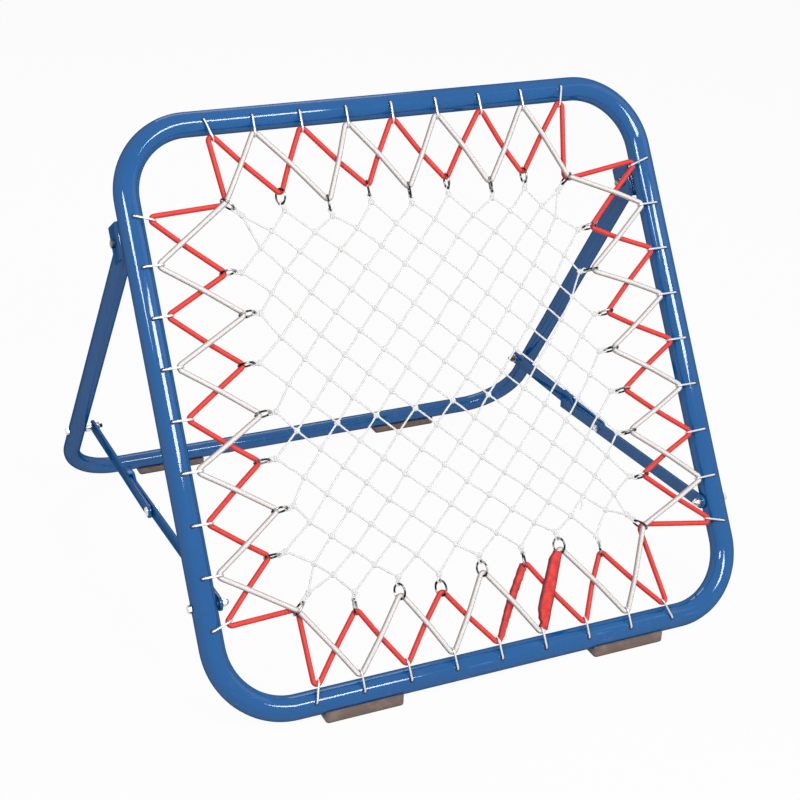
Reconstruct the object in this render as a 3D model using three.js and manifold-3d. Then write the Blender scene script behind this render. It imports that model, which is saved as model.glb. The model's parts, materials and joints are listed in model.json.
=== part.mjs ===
// A folding rebound goal: a square tube frame leans back on a hinged rear frame and holds a net on cords.
// Lengths are millimetres. +Z is up, +X is to the right of someone who faces the net, and the net faces -Y.
// The origin lies on the ground, in the middle of the object's outline seen from above.
import * as THREE from 'three';
import { mergeVertices } from 'three/addons/utils/BufferGeometryUtils.js';
import Module from 'manifold-3d';

const wasm = await Module();
wasm.setup();
const radians = THREE.MathUtils.degToRad;

// Clearances
const touchGap = 0.3;
const boltPlay = 0.3;
const cutOverrun = 6;

// Front frame
const frameSide = 1002;
const frameTube = 42;
const frameWall = 2;
const frameCornerRadius = 118;
const frameTilt = radians(57.5);

// Rear frame
const rearTube = 32;
const rearWall = 2;
const rearLegLength = 780;
const rearSplay = 18;
const rearCornerRadius = 104;

// Hinge between the frames
const hingeUpFrame = 788;
const bracketGauge = 3;
const bracketLength = 62;
const bracketBehindAxis = 19;
const bracketBendRadius = 6;
const bracketSideRoom = 2;
const legBeyondHinge = 15;
const hingeRoom = 2.5;

// Folding stays
const stayWidth = 25;
const stayGauge = 5;
const stayFrontUpFrame = 186.5;
const stayRearUpLeg = 174;
const stayFrontShare = 0.498;
const staySag = 8;
const stayExtension = 145;
const stopTabLength = 33;
const stopTabGauge = 4;

// Bolts, nuts and washers
const boltDiameter = 8;
const hexAcross = 13;
const headHeight = 5.3;
const nutHeight = 6.5;
const boltProud = 2.5;
const longBoltProud = 6;
const washerDiameter = 16;
const washerGauge = 1.5;
const kneeHeadDiameter = 17;
const kneeHeadHeight = 3.2;
const kneeShoulderShares = [0.72, 0.75];
const domeNutHeight = 12;
const domeNutFloor = 4;

// Rubber feet
const footLength = 130;
const frontFootDepth = 44;
const rearFootDepth = 30;
const frontFootHeight = 22;
const rearFootHeight = 14;
const footUnderTube = 11;
const footEdgeRadius = 4;
const frontFootOut = 249;
const rearLeftFootOut = 280;
const rearRightFootOut = 245;

// Hooks
const hookCount = 9;
const hookPitch = 83.6;
const hookWire = 4;
const hookTail = 8;
const hookShankRise = 3.4;
const curlRadius = 6.8;
const curlDegrees = [105, 65, 25, -25, -75];
const curlFlatShare = 0.906;
const turnShare = 0.6;
const endHookLean = 9;

// Elastic cords
const cordDiameter = 9;
const cordFromTube = 8;
const cordHookLevel = 16.7;
const cordCrossLift = 5.6;
const cordBite = 0.6;
const sleeveGauge = 0.9;
const redSleeveWidth = 16;
const whiteSleeveWidth = 24;
const redSleeveMargin = 7;
const whiteSleeveMargin = 9;

// Rings
const ringDiameter = 26;
const ringWire = 3.5;
const ringPitch = 76.5;
const ringLine = 333;
const ringStagger = 5.5;
const ringTurnMost = radians(32);
const ringShiftMost = 20;
const cornerRingLine = 324;
const cornerRingRoom = 2.5;

// Net
const netPitch = 34.8;
const netUnits = 18;
const netLevel = 12.5;
const netKnot = 6;
const netThickness = 4.6;
const netTipPitch = 75.5;
const netTipReach = 23.5;
const netCornerReach = 30;
const netSettlePasses = 60;

// Facets
const tubeSides = 12;
const cordSides = 6;
const wireSides = 4;
const ringSteps = 8;
const roundSides = 10;
const cornerSteps = 5;
const edgeSteps = 2;

// Places along the front frame: across, up the frame and out of its front, from the middle of the square
const frameHalf = (frameSide - frameTube) / 2;
const tubeRadius = frameTube / 2;
const legRadius = rearTube / 2;
const boltRadius = boltDiameter / 2;
const boltHoleRadius = boltRadius + boltPlay;
const washerBore = boltRadius + boltPlay;
const legSwing = Math.hypot(legRadius, legBeyondHinge);
const hingeSetback = tubeRadius + touchGap + bracketGauge + legSwing + hingeRoom;
const hingeUp = hingeUpFrame - frameHalf;

// Heights above the ground and the lean of the legs
const frontBarHeight = tubeRadius + touchGap + footUnderTube;
const rearBarHeight = legRadius + touchGap + footUnderTube;
const hingeHeight = frontBarHeight + hingeUpFrame * Math.sin(frameTilt) - hingeSetback * Math.cos(frameTilt);
const hingeBehindBar = hingeUpFrame * Math.cos(frameTilt) + hingeSetback * Math.sin(frameTilt);
const legLean = Math.acos((hingeHeight - rearBarHeight) / rearLegLength);
const foldAngle = Math.PI / 2 - frameTilt + legLean;
const rearBarBehind = hingeBehindBar + rearLegLength * Math.sin(legLean);
const frontBarY = -(rearBarBehind + rearFootDepth / 2 - frontFootDepth / 2) / 2;
const rearBarY = frontBarY + rearBarBehind;

// Pivots in the side view: up the frame, and out of its front
const hingePoint = new THREE.Vector2(hingeUp, -hingeSetback);
const legDirection = new THREE.Vector2(-Math.cos(foldAngle), -Math.sin(foldAngle));
const stayRearDownLeg = rearLegLength - stayRearUpLeg;
const rearPivot = hingePoint.clone().addScaledVector(legDirection, stayRearDownLeg);
const frontPivot = new THREE.Vector2(stayFrontUpFrame - frameHalf, 0);
const stayLine = rearPivot.clone().sub(frontPivot).normalize();
const staySagDirection = new THREE.Vector2(stayLine.y, -stayLine.x);
const kneePoint = frontPivot.clone()
  .lerp(rearPivot, stayFrontShare)
  .addScaledVector(staySagDirection, staySag);
const frontStayAngle = Math.atan2(kneePoint.y - frontPivot.y, kneePoint.x - frontPivot.x);
const rearStayAngle = Math.atan2(rearPivot.y - kneePoint.y, rearPivot.x - kneePoint.x);
const frontStayReach = frontPivot.distanceTo(kneePoint);
const rearStayReach = rearPivot.distanceTo(kneePoint);
const stayBend = rearStayAngle - frontStayAngle;

// Distances of the layers at each pivot from the middle plane, from the outside inwards
const cheekInside = frameHalf - legRadius - bracketSideRoom - bracketGauge;
const cheekOutside = frameHalf + legRadius + bracketSideRoom + bracketGauge;
const tubeInside = frameHalf - tubeRadius;
const tubeOutside = frameHalf + tubeRadius;
const frontWasherOuter = tubeInside - touchGap;
const frontStayOuter = frontWasherOuter - washerGauge - touchGap;
const frontStayInner = frontStayOuter - stayGauge;
const kneeWasherInner = frontStayOuter + touchGap;
const rearStayInner = kneeWasherInner + washerGauge + touchGap;
const rearStayOuter = rearStayInner + stayGauge;
const splayShare = rearSplay / rearLegLength;
const legAtRearPivot = frameHalf + stayRearDownLeg * splayShare;
const legSlant = Math.hypot(1, splayShare);

const object = new THREE.Group();
const frame = new THREE.Group();
const centreBehindBar = frameHalf * Math.cos(frameTilt);
const centreOverBar = frameHalf * Math.sin(frameTilt);
frame.position.set(0, frontBarY + centreBehindBar, frontBarHeight + centreOverBar);
frame.rotation.x = frameTilt;
object.add(frame);
const rear = new THREE.Group();
rear.position.set(0, hingePoint.x, hingePoint.y);
rear.rotation.x = foldAngle;
frame.add(rear);

// Finishes
const bluePaint = { color: 0x2162a9, roughness: 0.25, metalness: 0.1 };
const zincSteel = { color: 0xb9bbbe, roughness: 0.35, metalness: 0.9 };
const darkSteel = { color: 0x6b6a68, roughness: 0.4, metalness: 0.9 };
const redElastic = { color: 0xd7352f, roughness: 0.6, metalness: 0 };
const whiteElastic = { color: 0xe3dad6, roughness: 0.6, metalness: 0 };
const redTape = { color: 0xd23a30, roughness: 0.75, metalness: 0 };
const whiteTwine = { color: 0xe8e7e3, roughness: 0.8, metalness: 0 };
const brownRubber = { color: 0x75675f, roughness: 0.85, metalness: 0 };

function addPiece(parent, name, geometry, finish) {
  const mesh = new THREE.Mesh(geometry, new THREE.MeshStandardMaterial(finish));
  mesh.name = name;
  parent.add(mesh);
  return mesh;
}

// Joining and cutting of closed meshes
function toSolid(geometry) {
  const bare = geometry.clone();
  bare.deleteAttribute('normal');
  bare.deleteAttribute('uv');
  const welded = mergeVertices(bare);
  return new wasm.Manifold(new wasm.Mesh({
    numProp: 3,
    vertProperties: new Float32Array(welded.getAttribute('position').array),
    triVerts: new Uint32Array(welded.index.array),
  }));
}

function toGeometry(solid) {
  const mesh = solid.getMesh();
  const geometry = new THREE.BufferGeometry();
  geometry.setAttribute('position', new THREE.BufferAttribute(new Float32Array(mesh.vertProperties), 3));
  geometry.setIndex(new THREE.BufferAttribute(new Uint32Array(mesh.triVerts), 1));
  geometry.computeVertexNormals();
  return geometry;
}

function cutAway(geometry, cutters) {
  let solid = toSolid(geometry);
  for (const cutter of cutters) {
    solid = solid.subtract(toSolid(cutter));
  }
  return toGeometry(solid);
}

function joinAll(geometries) {
  let solid = toSolid(geometries[0]);
  for (const geometry of geometries.slice(1)) {
    solid = solid.add(toSolid(geometry));
  }
  return toGeometry(solid);
}

// A path through given points whose section keeps its side to a fixed direction and is mitred at each bend
class MitredPath extends THREE.Curve {
  constructor(points, facing, closed) {
    super();
    this.points = points;
    this.facing = facing;
    this.closed = closed;
  }

  getSpacedPoints() {
    return this.closed ? [...this.points, this.points[0]] : this.points;
  }

  computeFrenetFrames() {
    const frames = { tangents: [], normals: [], binormals: [] };
    const count = this.points.length;
    const stations = this.closed ? count + 1 : count;
    for (let station = 0; station < stations; station += 1) {
      const here = this.points[station % count];
      const hasBefore = this.closed || station > 0;
      const hasAfter = this.closed || station < count - 1;
      const before = hasBefore ? this.points[(station + count - 1) % count] : here;
      const after = hasAfter ? this.points[(station + 1) % count] : here;
      const arriving = here.clone().sub(before);
      const leaving = after.clone().sub(here);
      if (!hasBefore) arriving.copy(leaving);
      if (!hasAfter) leaving.copy(arriving);
      arriving.normalize();
      leaving.normalize();
      const tangent = arriving.clone().add(leaving).normalize();
      const normal = new THREE.Vector3().crossVectors(this.facing, tangent).normalize();
      const binormal = new THREE.Vector3().crossVectors(tangent, normal);
      normal.divideScalar(arriving.dot(tangent));
      frames.tangents.push(tangent);
      frames.normals.push(normal);
      frames.binormals.push(binormal);
    }
    return frames;
  }
}

function roundSection(width, height, sides) {
  const points = [];
  for (let side = 0; side < sides; side += 1) {
    const angle = (2 * Math.PI * (side + 0.5)) / sides;
    points.push(new THREE.Vector2(width / 2 * Math.cos(angle), height / 2 * Math.sin(angle)));
  }
  return new THREE.Shape(points);
}

function ringSection(width, height, bore, sides) {
  const section = roundSection(width, height, sides);
  section.holes.push(roundSection(bore, bore, sides));
  return section;
}

function sweep(section, points, facing, closed = false) {
  const extrudePath = new MitredPath(points, facing, closed);
  const steps = closed ? points.length : points.length - 1;
  const geometry = new THREE.ExtrudeGeometry(section, { steps, extrudePath });
  if (!closed) return geometry;
  const sides = geometry.groups[1];
  const ring = new THREE.BufferGeometry();
  const { array } = geometry.getAttribute('position');
  const values = array.slice(sides.start * 3, (sides.start + sides.count) * 3);
  ring.setAttribute('position', new THREE.BufferAttribute(values, 3));
  return mergeVertices(ring);
}

// Turned and hexagonal pieces on an axis that runs across the object.
// Side is 1 on the right and -1 on the left, and distances are from the middle plane outwards.
function turned(side, profile) {
  const points = profile.map(([radius, distance]) => new THREE.Vector2(radius, distance));
  return new THREE.LatheGeometry(points, roundSides).rotateZ(-side * Math.PI / 2);
}

function disc(side, near, far, radius) {
  return turned(side, [[0, near], [radius, near], [radius, far], [0, far]]);
}

function washer(side, near, far, diameter) {
  const rim = diameter / 2;
  return turned(side, [[washerBore, near], [rim, near], [rim, far], [washerBore, far], [washerBore, near]]);
}

function hexagon(side, near, far, bore) {
  const corners = [];
  const cornerRadius = hexAcross / 2 / Math.cos(Math.PI / 6);
  for (let corner = 0; corner < 6; corner += 1) {
    const angle = (Math.PI / 3) * corner;
    corners.push(new THREE.Vector2(cornerRadius * Math.cos(angle), cornerRadius * Math.sin(angle)));
  }
  const shape = new THREE.Shape(corners);
  if (bore > 0) shape.holes.push(roundSection(bore * 2, bore * 2, roundSides));
  const geometry = new THREE.ExtrudeGeometry(shape, { depth: far - near, bevelEnabled: false });
  const start = side > 0 ? near : -far;
  return geometry.rotateY(Math.PI / 2).translate(start, 0, 0);
}

function hexBolt(side, headNear, headFar, tail) {
  const inner = Math.min(headNear, tail);
  const shank = disc(side, inner, headNear + headHeight / 2, boltRadius);
  return joinAll([hexagon(side, headNear, headFar, 0), shank]);
}

function crossHole(side, point, near, far) {
  return disc(side, near, far, boltHoleRadius).translate(0, point.x, point.y);
}

function addAtPivot(parent, name, point, geometry, finish) {
  const mesh = addPiece(parent, name, geometry, finish);
  mesh.position.set(0, point.x, point.y);
  return mesh;
}

// The four sides of the square, clockwise from the top: along it, out from the middle, and out of the front
function onSide(quarter, along, out, level) {
  const point = new THREE.Vector3(along, out, level);
  return point.applyAxisAngle(new THREE.Vector3(0, 0, 1), -quarter * Math.PI / 2);
}

const towardsFront = new THREE.Vector3(0, 0, 1);
const hookMiddle = (hookCount + 1) / 2;
const cordRadius = cordDiameter / 2;
const hookWireRadius = hookWire / 2;
const ringWireRadius = ringWire / 2;
const cordHookLine = tubeInside - cordFromTube;
const cordFlat = cordRadius * Math.cos(Math.PI / cordSides);
const wireFlat = hookWireRadius * Math.cos(Math.PI / wireSides);
const hookBearing = cordFlat + wireFlat - cordBite;
const ringBearing = cordFlat + ringWireRadius - cordBite;

// Front frame: one tube bent to a rounded square and welded shut, drilled for the hooks and the stays' bolts
function roundedSquare(half, cornerRadius) {
  const points = [];
  for (let quarter = 0; quarter < 4; quarter += 1) {
    for (let step = 0; step <= cornerSteps; step += 1) {
      const angle = (Math.PI / 2) * (step / cornerSteps);
      const along = half - cornerRadius + cornerRadius * Math.sin(angle);
      const out = half - cornerRadius + cornerRadius * Math.cos(angle);
      points.push(onSide(quarter, along, out, 0));
    }
  }
  return points.reverse();
}

const frameLine = roundedSquare(frameHalf, frameCornerRadius);
const frameBore = frameTube - 2 * frameWall;
const frameCutters = [sweep(roundSection(frameBore, frameBore, tubeSides), frameLine, towardsFront, true)];
const drillRadius = (hookWireRadius + touchGap) / Math.cos(Math.PI / cordSides);
for (let quarter = 0; quarter < 4; quarter += 1) {
  for (let hook = 1; hook <= hookCount; hook += 1) {
    const along = (hook - hookMiddle) * hookPitch;
    const drill = new THREE.CylinderGeometry(drillRadius, drillRadius, tubeRadius, cordSides);
    drill.rotateX(Math.PI / 2);
    const place = onSide(quarter, along, frameHalf, tubeRadius);
    frameCutters.push(drill.translate(place.x, place.y, place.z));
  }
}
for (const side of [-1, 1]) {
  frameCutters.push(crossHole(side, frontPivot, tubeInside - cutOverrun, tubeOutside + cutOverrun));
}
const frameShell = sweep(roundSection(frameTube, frameTube, tubeSides), frameLine, towardsFront, true);
addPiece(frame, 'front_frame_tube', cutAway(frameShell, frameCutters), bluePaint);

// Rear frame: one thinner tube bent to a U, whose legs spread a little towards the ground
function rearLine() {
  const splay = Math.atan(splayShare);
  const centreDown = rearLegLength - rearCornerRadius;
  const centreOut = frameHalf + centreDown * splayShare - rearCornerRadius / Math.cos(splay);
  const half = [new THREE.Vector3(frameHalf - legBeyondHinge * splayShare, legBeyondHinge, 0)];
  for (let step = 0; step <= cornerSteps; step += 1) {
    const angle = -splay + (Math.PI / 2 + splay) * (step / cornerSteps);
    const out = centreOut + rearCornerRadius * Math.cos(angle);
    half.push(new THREE.Vector3(out, -centreDown - rearCornerRadius * Math.sin(angle), 0));
  }
  const mirrored = half.map((point) => new THREE.Vector3(-point.x, point.y, 0));
  return [...half, ...mirrored.reverse()];
}

const rearPivotOnLeg = new THREE.Vector2(-stayRearDownLeg, 0);
const hingeOnLeg = new THREE.Vector2(0, 0);
const legCutters = [];
for (const side of [-1, 1]) {
  legCutters.push(crossHole(side, hingeOnLeg, tubeInside - cutOverrun, tubeOutside + cutOverrun));
  legCutters.push(crossHole(side, rearPivotOnLeg, tubeInside - cutOverrun, tubeOutside + 2 * rearSplay));
}
const rearSection = ringSection(rearTube, rearTube, rearTube - 2 * rearWall, tubeSides);
const rearShell = sweep(rearSection, rearLine(), towardsFront);
addPiece(rear, 'rear_frame_tube', cutAway(rearShell, legCutters), bluePaint);

// Hinge: a channel of bent sheet welded behind each side tube, with the leg's end in it on a bolt
function hingeBracket(side) {
  const half = legRadius + bracketSideRoom + bracketGauge;
  const inner = half - bracketGauge;
  const front = -tubeRadius - touchGap;
  const back = -hingeSetback - bracketBehindAxis;
  const bend = bracketBendRadius;
  const tight = bend - bracketGauge;
  const shape = new THREE.Shape();
  shape.moveTo(-half, back);
  shape.lineTo(-inner, back);
  shape.lineTo(-inner, front - bend);
  shape.absarc(-inner + tight, front - bend, tight, Math.PI, Math.PI / 2, true);
  shape.lineTo(inner - tight, front - bracketGauge);
  shape.absarc(inner - tight, front - bend, tight, Math.PI / 2, 0, true);
  shape.lineTo(inner, back);
  shape.lineTo(half, back);
  shape.lineTo(half, front - bend);
  shape.absarc(half - bend, front - bend, bend, 0, Math.PI / 2, false);
  shape.lineTo(-half + bend, front);
  shape.absarc(-half + bend, front - bend, bend, Math.PI / 2, Math.PI, false);
  const options = { depth: bracketLength, bevelEnabled: false, curveSegments: edgeSteps };
  const channel = new THREE.ExtrudeGeometry(shape, options);
  channel.rotateX(Math.PI / 2).translate(side * frameHalf, hingeUp + bracketLength / 2, 0);
  const hole = crossHole(side, hingePoint, cheekInside - cutOverrun, cheekOutside + cutOverrun);
  return cutAway(channel, [hole]);
}

for (const side of [-1, 1]) {
  const hand = side < 0 ? 'left' : 'right';
  const headNear = cheekOutside + touchGap;
  const washerOuter = cheekInside - touchGap;
  const nutOuter = washerOuter - washerGauge - touchGap;
  const nutInner = nutOuter - nutHeight;
  addPiece(frame, `${hand}_hinge_bracket`, hingeBracket(side), bluePaint);
  const bolt = hexBolt(side, headNear, headNear + headHeight, nutInner - boltProud);
  addAtPivot(frame, `${hand}_hinge_bolt`, hingePoint, bolt, darkSteel);
  const ring = washer(side, washerOuter - washerGauge, washerOuter, washerDiameter);
  addAtPivot(frame, `${hand}_hinge_washer`, hingePoint, ring, zincSteel);
  const nut = hexagon(side, nutInner, nutOuter, boltHoleRadius);
  addAtPivot(frame, `${hand}_hinge_nut`, hingePoint, nut, darkSteel);
}

// Folding stays: two flat bars a side; the front one runs on past the knee and carries the stop tab
function placeBar(mesh, point, angle, near) {
  const along = new THREE.Vector3(0, Math.cos(angle), Math.sin(angle));
  const upper = new THREE.Vector3(0, -Math.sin(angle), Math.cos(angle));
  const turn = new THREE.Matrix4().makeBasis(along, upper, new THREE.Vector3(1, 0, 0));
  mesh.quaternion.setFromRotationMatrix(turn);
  mesh.position.set(near, point.x, point.y);
}

function boltHoleAt(distance) {
  const hole = new THREE.Path();
  hole.absarc(distance, 0, boltHoleRadius, 0, 2 * Math.PI, true);
  return hole;
}

function rearBarGeometry() {
  const half = stayWidth / 2;
  const shape = new THREE.Shape();
  shape.moveTo(0, -half);
  shape.lineTo(rearStayReach, -half);
  shape.absarc(rearStayReach, 0, half, -Math.PI / 2, Math.PI / 2, false);
  shape.lineTo(0, half);
  shape.absarc(0, 0, half, Math.PI / 2, 3 * Math.PI / 2, false);
  shape.holes.push(boltHoleAt(0), boltHoleAt(rearStayReach));
  const options = { depth: stayGauge, bevelEnabled: false, curveSegments: cornerSteps };
  return new THREE.ExtrudeGeometry(shape, options);
}

function frontBarGeometry(side) {
  const half = stayWidth / 2;
  const end = frontStayReach + stayExtension;
  const tabStart = end - stopTabLength;
  const rearBarTop = half / Math.cos(stayBend) + stayExtension * Math.tan(stayBend);
  const tabUnder = rearBarTop + touchGap;
  const tabTop = tabUnder + stopTabGauge;
  const shape = new THREE.Shape();
  shape.moveTo(0, -half);
  shape.lineTo(end, -half);
  shape.lineTo(end, tabTop);
  shape.lineTo(tabStart, tabTop);
  shape.lineTo(tabStart - tabTop + half, half);
  shape.lineTo(0, half);
  shape.absarc(0, 0, half, Math.PI / 2, 3 * Math.PI / 2, false);
  shape.holes.push(boltHoleAt(0), boltHoleAt(frontStayReach));
  const options = { depth: stayGauge, bevelEnabled: false, curveSegments: cornerSteps };
  const bar = new THREE.ExtrudeGeometry(shape, options);
  const tabReach = rearStayOuter - frontStayInner;
  const tab = new THREE.BoxGeometry(stopTabLength, stopTabGauge, tabReach);
  const tabMiddle = side > 0 ? tabReach / 2 : stayGauge - tabReach / 2;
  tab.translate(end - stopTabLength / 2, tabUnder + stopTabGauge / 2, tabMiddle);
  return joinAll([bar, tab]);
}

for (const side of [-1, 1]) {
  const hand = side < 0 ? 'left' : 'right';
  const frontBar = addPiece(frame, `${hand}_stay_front_bar`, frontBarGeometry(side), bluePaint);
  placeBar(frontBar, frontPivot, frontStayAngle, side > 0 ? frontStayInner : -frontStayOuter);
  const rearBar = addPiece(frame, `${hand}_stay_rear_bar`, rearBarGeometry(), bluePaint);
  placeBar(rearBar, kneePoint, rearStayAngle, side > 0 ? rearStayInner : -rearStayOuter);
}

// The bolt through the side tube, with a washer on each face of the front bar and a domed nut inside
function domedNut(side, near, far) {
  const hexFar = far;
  const hexNear = far - domeNutHeight / 2;
  const boreNear = near + domeNutFloor;
  const domeRadius = hexAcross / 2;
  const profile = [[0, near]];
  for (let step = 1; step <= cornerSteps; step += 1) {
    const angle = (Math.PI / 2) * (step / cornerSteps);
    profile.push([domeRadius * Math.sin(angle), hexNear - (hexNear - near) * Math.cos(angle)]);
  }
  profile.push([domeRadius, hexNear + touchGap], [0, hexNear + touchGap]);
  const body = joinAll([hexagon(side, hexNear, hexFar, 0), turned(side, profile)]);
  return cutAway(body, [disc(side, boreNear, far + cutOverrun, boltHoleRadius)]);
}

for (const side of [-1, 1]) {
  const hand = side < 0 ? 'left' : 'right';
  const innerWasher = frontStayInner - touchGap;
  const nutOuter = innerWasher - washerGauge - touchGap;
  const nutInner = nutOuter - domeNutHeight;
  const headNear = tubeOutside + touchGap;
  const bolt = hexBolt(side, headNear, headNear + headHeight, nutInner + domeNutFloor + touchGap);
  addAtPivot(frame, `${hand}_front_pivot_bolt`, frontPivot, bolt, zincSteel);
  const outerRing = washer(side, frontWasherOuter - washerGauge, frontWasherOuter, washerDiameter);
  addAtPivot(frame, `${hand}_front_pivot_outer_washer`, frontPivot, outerRing, darkSteel);
  const innerRing = washer(side, innerWasher - washerGauge, innerWasher, washerDiameter);
  addAtPivot(frame, `${hand}_front_pivot_inner_washer`, frontPivot, innerRing, darkSteel);
  const nut = domedNut(side, nutInner, nutOuter);
  addAtPivot(frame, `${hand}_front_pivot_domed_nut`, frontPivot, nut, zincSteel);
}

// The knee: a round-headed bolt through both bars
for (const side of [-1, 1]) {
  const hand = side < 0 ? 'left' : 'right';
  const headNear = rearStayOuter + touchGap;
  const headRadius = kneeHeadDiameter / 2;
  const nutOuter = frontStayInner - touchGap;
  const nutInner = nutOuter - nutHeight;
  const tail = nutInner - boltProud;
  const shoulder = [headRadius * kneeShoulderShares[0], headNear + kneeHeadHeight * kneeShoulderShares[1]];
  const bolt = turned(side, [
    [0, tail], [boltRadius, tail], [boltRadius, headNear], [headRadius, headNear],
    shoulder, [0, headNear + kneeHeadHeight],
  ]);
  addAtPivot(frame, `${hand}_knee_bolt`, kneePoint, bolt, zincSteel);
  const ring = washer(side, kneeWasherInner, kneeWasherInner + washerGauge, washerDiameter);
  addAtPivot(frame, `${hand}_knee_washer`, kneePoint, ring, darkSteel);
  const nut = hexagon(side, nutInner, nutOuter, boltHoleRadius);
  addAtPivot(frame, `${hand}_knee_nut`, kneePoint, nut, zincSteel);
}

// The rear pivot: a bolt through the leg, held off by a spacer, in two halves so that leg and bar can part
for (const side of [-1, 1]) {
  const hand = side < 0 ? 'left' : 'right';
  const legOuter = legAtRearPivot + legRadius * legSlant;
  const legInner = legAtRearPivot - legRadius * legSlant;
  const headNear = legOuter + touchGap;
  const spacerInner = rearStayOuter + touchGap;
  const spacerOuter = legInner - touchGap;
  const washerOuter = rearStayInner - touchGap;
  const nutOuter = washerOuter - washerGauge - touchGap;
  const nutInner = nutOuter - nutHeight;
  const bolt = hexBolt(side, headNear, headNear + headHeight, spacerInner);
  addAtPivot(frame, `${hand}_rear_pivot_bolt`, rearPivot, bolt, zincSteel);
  const spacer = washer(side, spacerInner, spacerOuter, washerDiameter);
  addAtPivot(frame, `${hand}_rear_pivot_spacer`, rearPivot, spacer, zincSteel);
  const end = disc(side, nutInner - longBoltProud, rearStayOuter, boltRadius);
  addAtPivot(frame, `${hand}_rear_pivot_bolt_end`, rearPivot, end, darkSteel);
  const ring = washer(side, washerOuter - washerGauge, washerOuter, washerDiameter);
  addAtPivot(frame, `${hand}_rear_pivot_washer`, rearPivot, ring, zincSteel);
  const nut = hexagon(side, nutInner, nutOuter, boltHoleRadius);
  addAtPivot(frame, `${hand}_rear_pivot_nut`, rearPivot, nut, darkSteel);
}

// Rubber feet: a block under each bar, hollowed on top to seat the tube
function foot(tube, depth, height) {
  const half = depth / 2;
  const saddleRadius = tube / 2 + touchGap;
  const centreHeight = tube / 2 + touchGap + footUnderTube;
  const halfAngle = Math.acos((centreHeight - height) / saddleRadius);
  const shape = new THREE.Shape();
  shape.moveTo(-half + footEdgeRadius, 0);
  shape.lineTo(half - footEdgeRadius, 0);
  shape.absarc(half - footEdgeRadius, footEdgeRadius, footEdgeRadius, -Math.PI / 2, 0, false);
  shape.lineTo(half, height);
  shape.absarc(0, centreHeight, saddleRadius, -Math.PI / 2 + halfAngle, -Math.PI / 2 - halfAngle, true);
  shape.lineTo(-half, height);
  shape.absarc(-half + footEdgeRadius, footEdgeRadius, footEdgeRadius, Math.PI, 3 * Math.PI / 2, false);
  const options = { depth: footLength, bevelEnabled: false, curveSegments: cornerSteps };
  return new THREE.ExtrudeGeometry(shape, options);
}

function addFoot(name, out, barY, tube, depth, height) {
  const mesh = addPiece(object, name, foot(tube, depth, height), brownRubber);
  placeBar(mesh, new THREE.Vector2(barY, 0), 0, out - footLength / 2);
}

addFoot('front_left_foot', -frontFootOut, frontBarY, frameTube, frontFootDepth, frontFootHeight);
addFoot('front_right_foot', frontFootOut, frontBarY, frameTube, frontFootDepth, frontFootHeight);
addFoot('rear_left_foot', -rearLeftFootOut, rearBarY, rearTube, rearFootDepth, rearFootHeight);
addFoot('rear_right_foot', rearRightFootOut, rearBarY, rearTube, rearFootDepth, rearFootHeight);

// Hooks: bent wire, one end in a hole of the tube and the other curled round a cord
function hookLean(hook) {
  if (hook === 1) return endHookLean;
  return hook === hookCount ? -endHookLean : 0;
}

function hookLine(quarter, hook) {
  const along = (hook - hookMiddle) * hookPitch;
  const reach = frameHalf - cordHookLine;
  const curlCentre = reach + hookBearing - curlRadius * curlFlatShare;
  const turnIn = hookWire * turnShare;
  const shankLevel = tubeRadius + hookShankRise;
  const line = [[0, tubeRadius - frameWall - hookTail], [0, shankLevel - turnIn], [turnIn, shankLevel]];
  for (const degrees of curlDegrees) {
    const angle = radians(degrees);
    line.push([curlCentre + curlRadius * Math.cos(angle), cordHookLevel + curlRadius * Math.sin(angle)]);
  }
  return line.map(([inward, level]) => {
    return onSide(quarter, along + hookLean(hook) * (inward / reach), frameHalf - inward, level);
  });
}

function hookSolid(quarter, hook) {
  const section = roundSection(hookWire, hookWire, wireSides);
  return sweep(section, hookLine(quarter, hook), onSide(quarter, 1, 0, 0));
}

// Steel rings between the cords and the net, each turned a little about its pull
const ringRadius = ringDiameter / 2;
const ringTurnShares = [
  [0.5, -0.65, -0.7, -0.6, -0.25, -0.6, -0.15],
  [-0.3, 0, -0.35, -0.35, -0.4, -0.3, -0.45],
  [0.85, -0.6, 1, -0.5, -0.6, -0.6, 0.95],
  [0.35, 0.5, 0.3, 0.5, 0.2, 0.4, 0.25],
];
const ringsPerSide = hookCount - 2;
const ringMiddle = (ringsPerSide + 1) / 2;

// The strung net draws each ring off its even place: along its side, and outwards
const ringAlongShares = [
  [0.2, 0.5, 0.45, 0.35, 0.15, 0.45, 0],
  [0.25, 0.25, 0.4, -0.1, -0.2, -0.3, -0.1],
  [0.05, 0.1, -0.2, 0, 0.2, 0.05, 0.3],
  [-0.4, -0.7, -0.45, -0.5, -0.15, 0.1, -0.15],
];
const ringOutShares = [
  [0.15, -0.3, 0, 0, -0.15, -0.35, -0.4],
  [0, -0.2, -0.15, 0.15, -0.05, 0.2, 0],
  [-0.05, -0.55, -0.5, 0, 0.3, 0.4, 0.3],
  [1, 0.15, 0.3, 0, 0.05, -0.3, 0.1],
];
const cornerAlongShares = [0.25, 0.4, 0.4, -0.2];
const cornerOutShares = [0.7, -0.6, -0.65, 0.35];

function ringShift(quarter, index) {
  return ringAlongShares[quarter][index - 1] * ringShiftMost;
}

function ringAlong(quarter, index) {
  return (index - ringMiddle) * ringPitch + ringShift(quarter, index);
}

function ringOut(quarter, index) {
  const stagger = index % 2 === 1 ? ringStagger : -ringStagger;
  return ringLine + stagger + ringOutShares[quarter][index - 1] * ringShiftMost;
}

// A place on the corner's outward diagonal, so far beyond the middle of its ring
function cornerPlace(quarter, beyond, level) {
  const along = cornerAlongShares[quarter] * ringShiftMost - cornerRingLine;
  const out = cornerOutShares[quarter] * ringShiftMost + cornerRingLine;
  return onSide(quarter, along - beyond * Math.SQRT1_2, out + beyond * Math.SQRT1_2, level);
}

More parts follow.
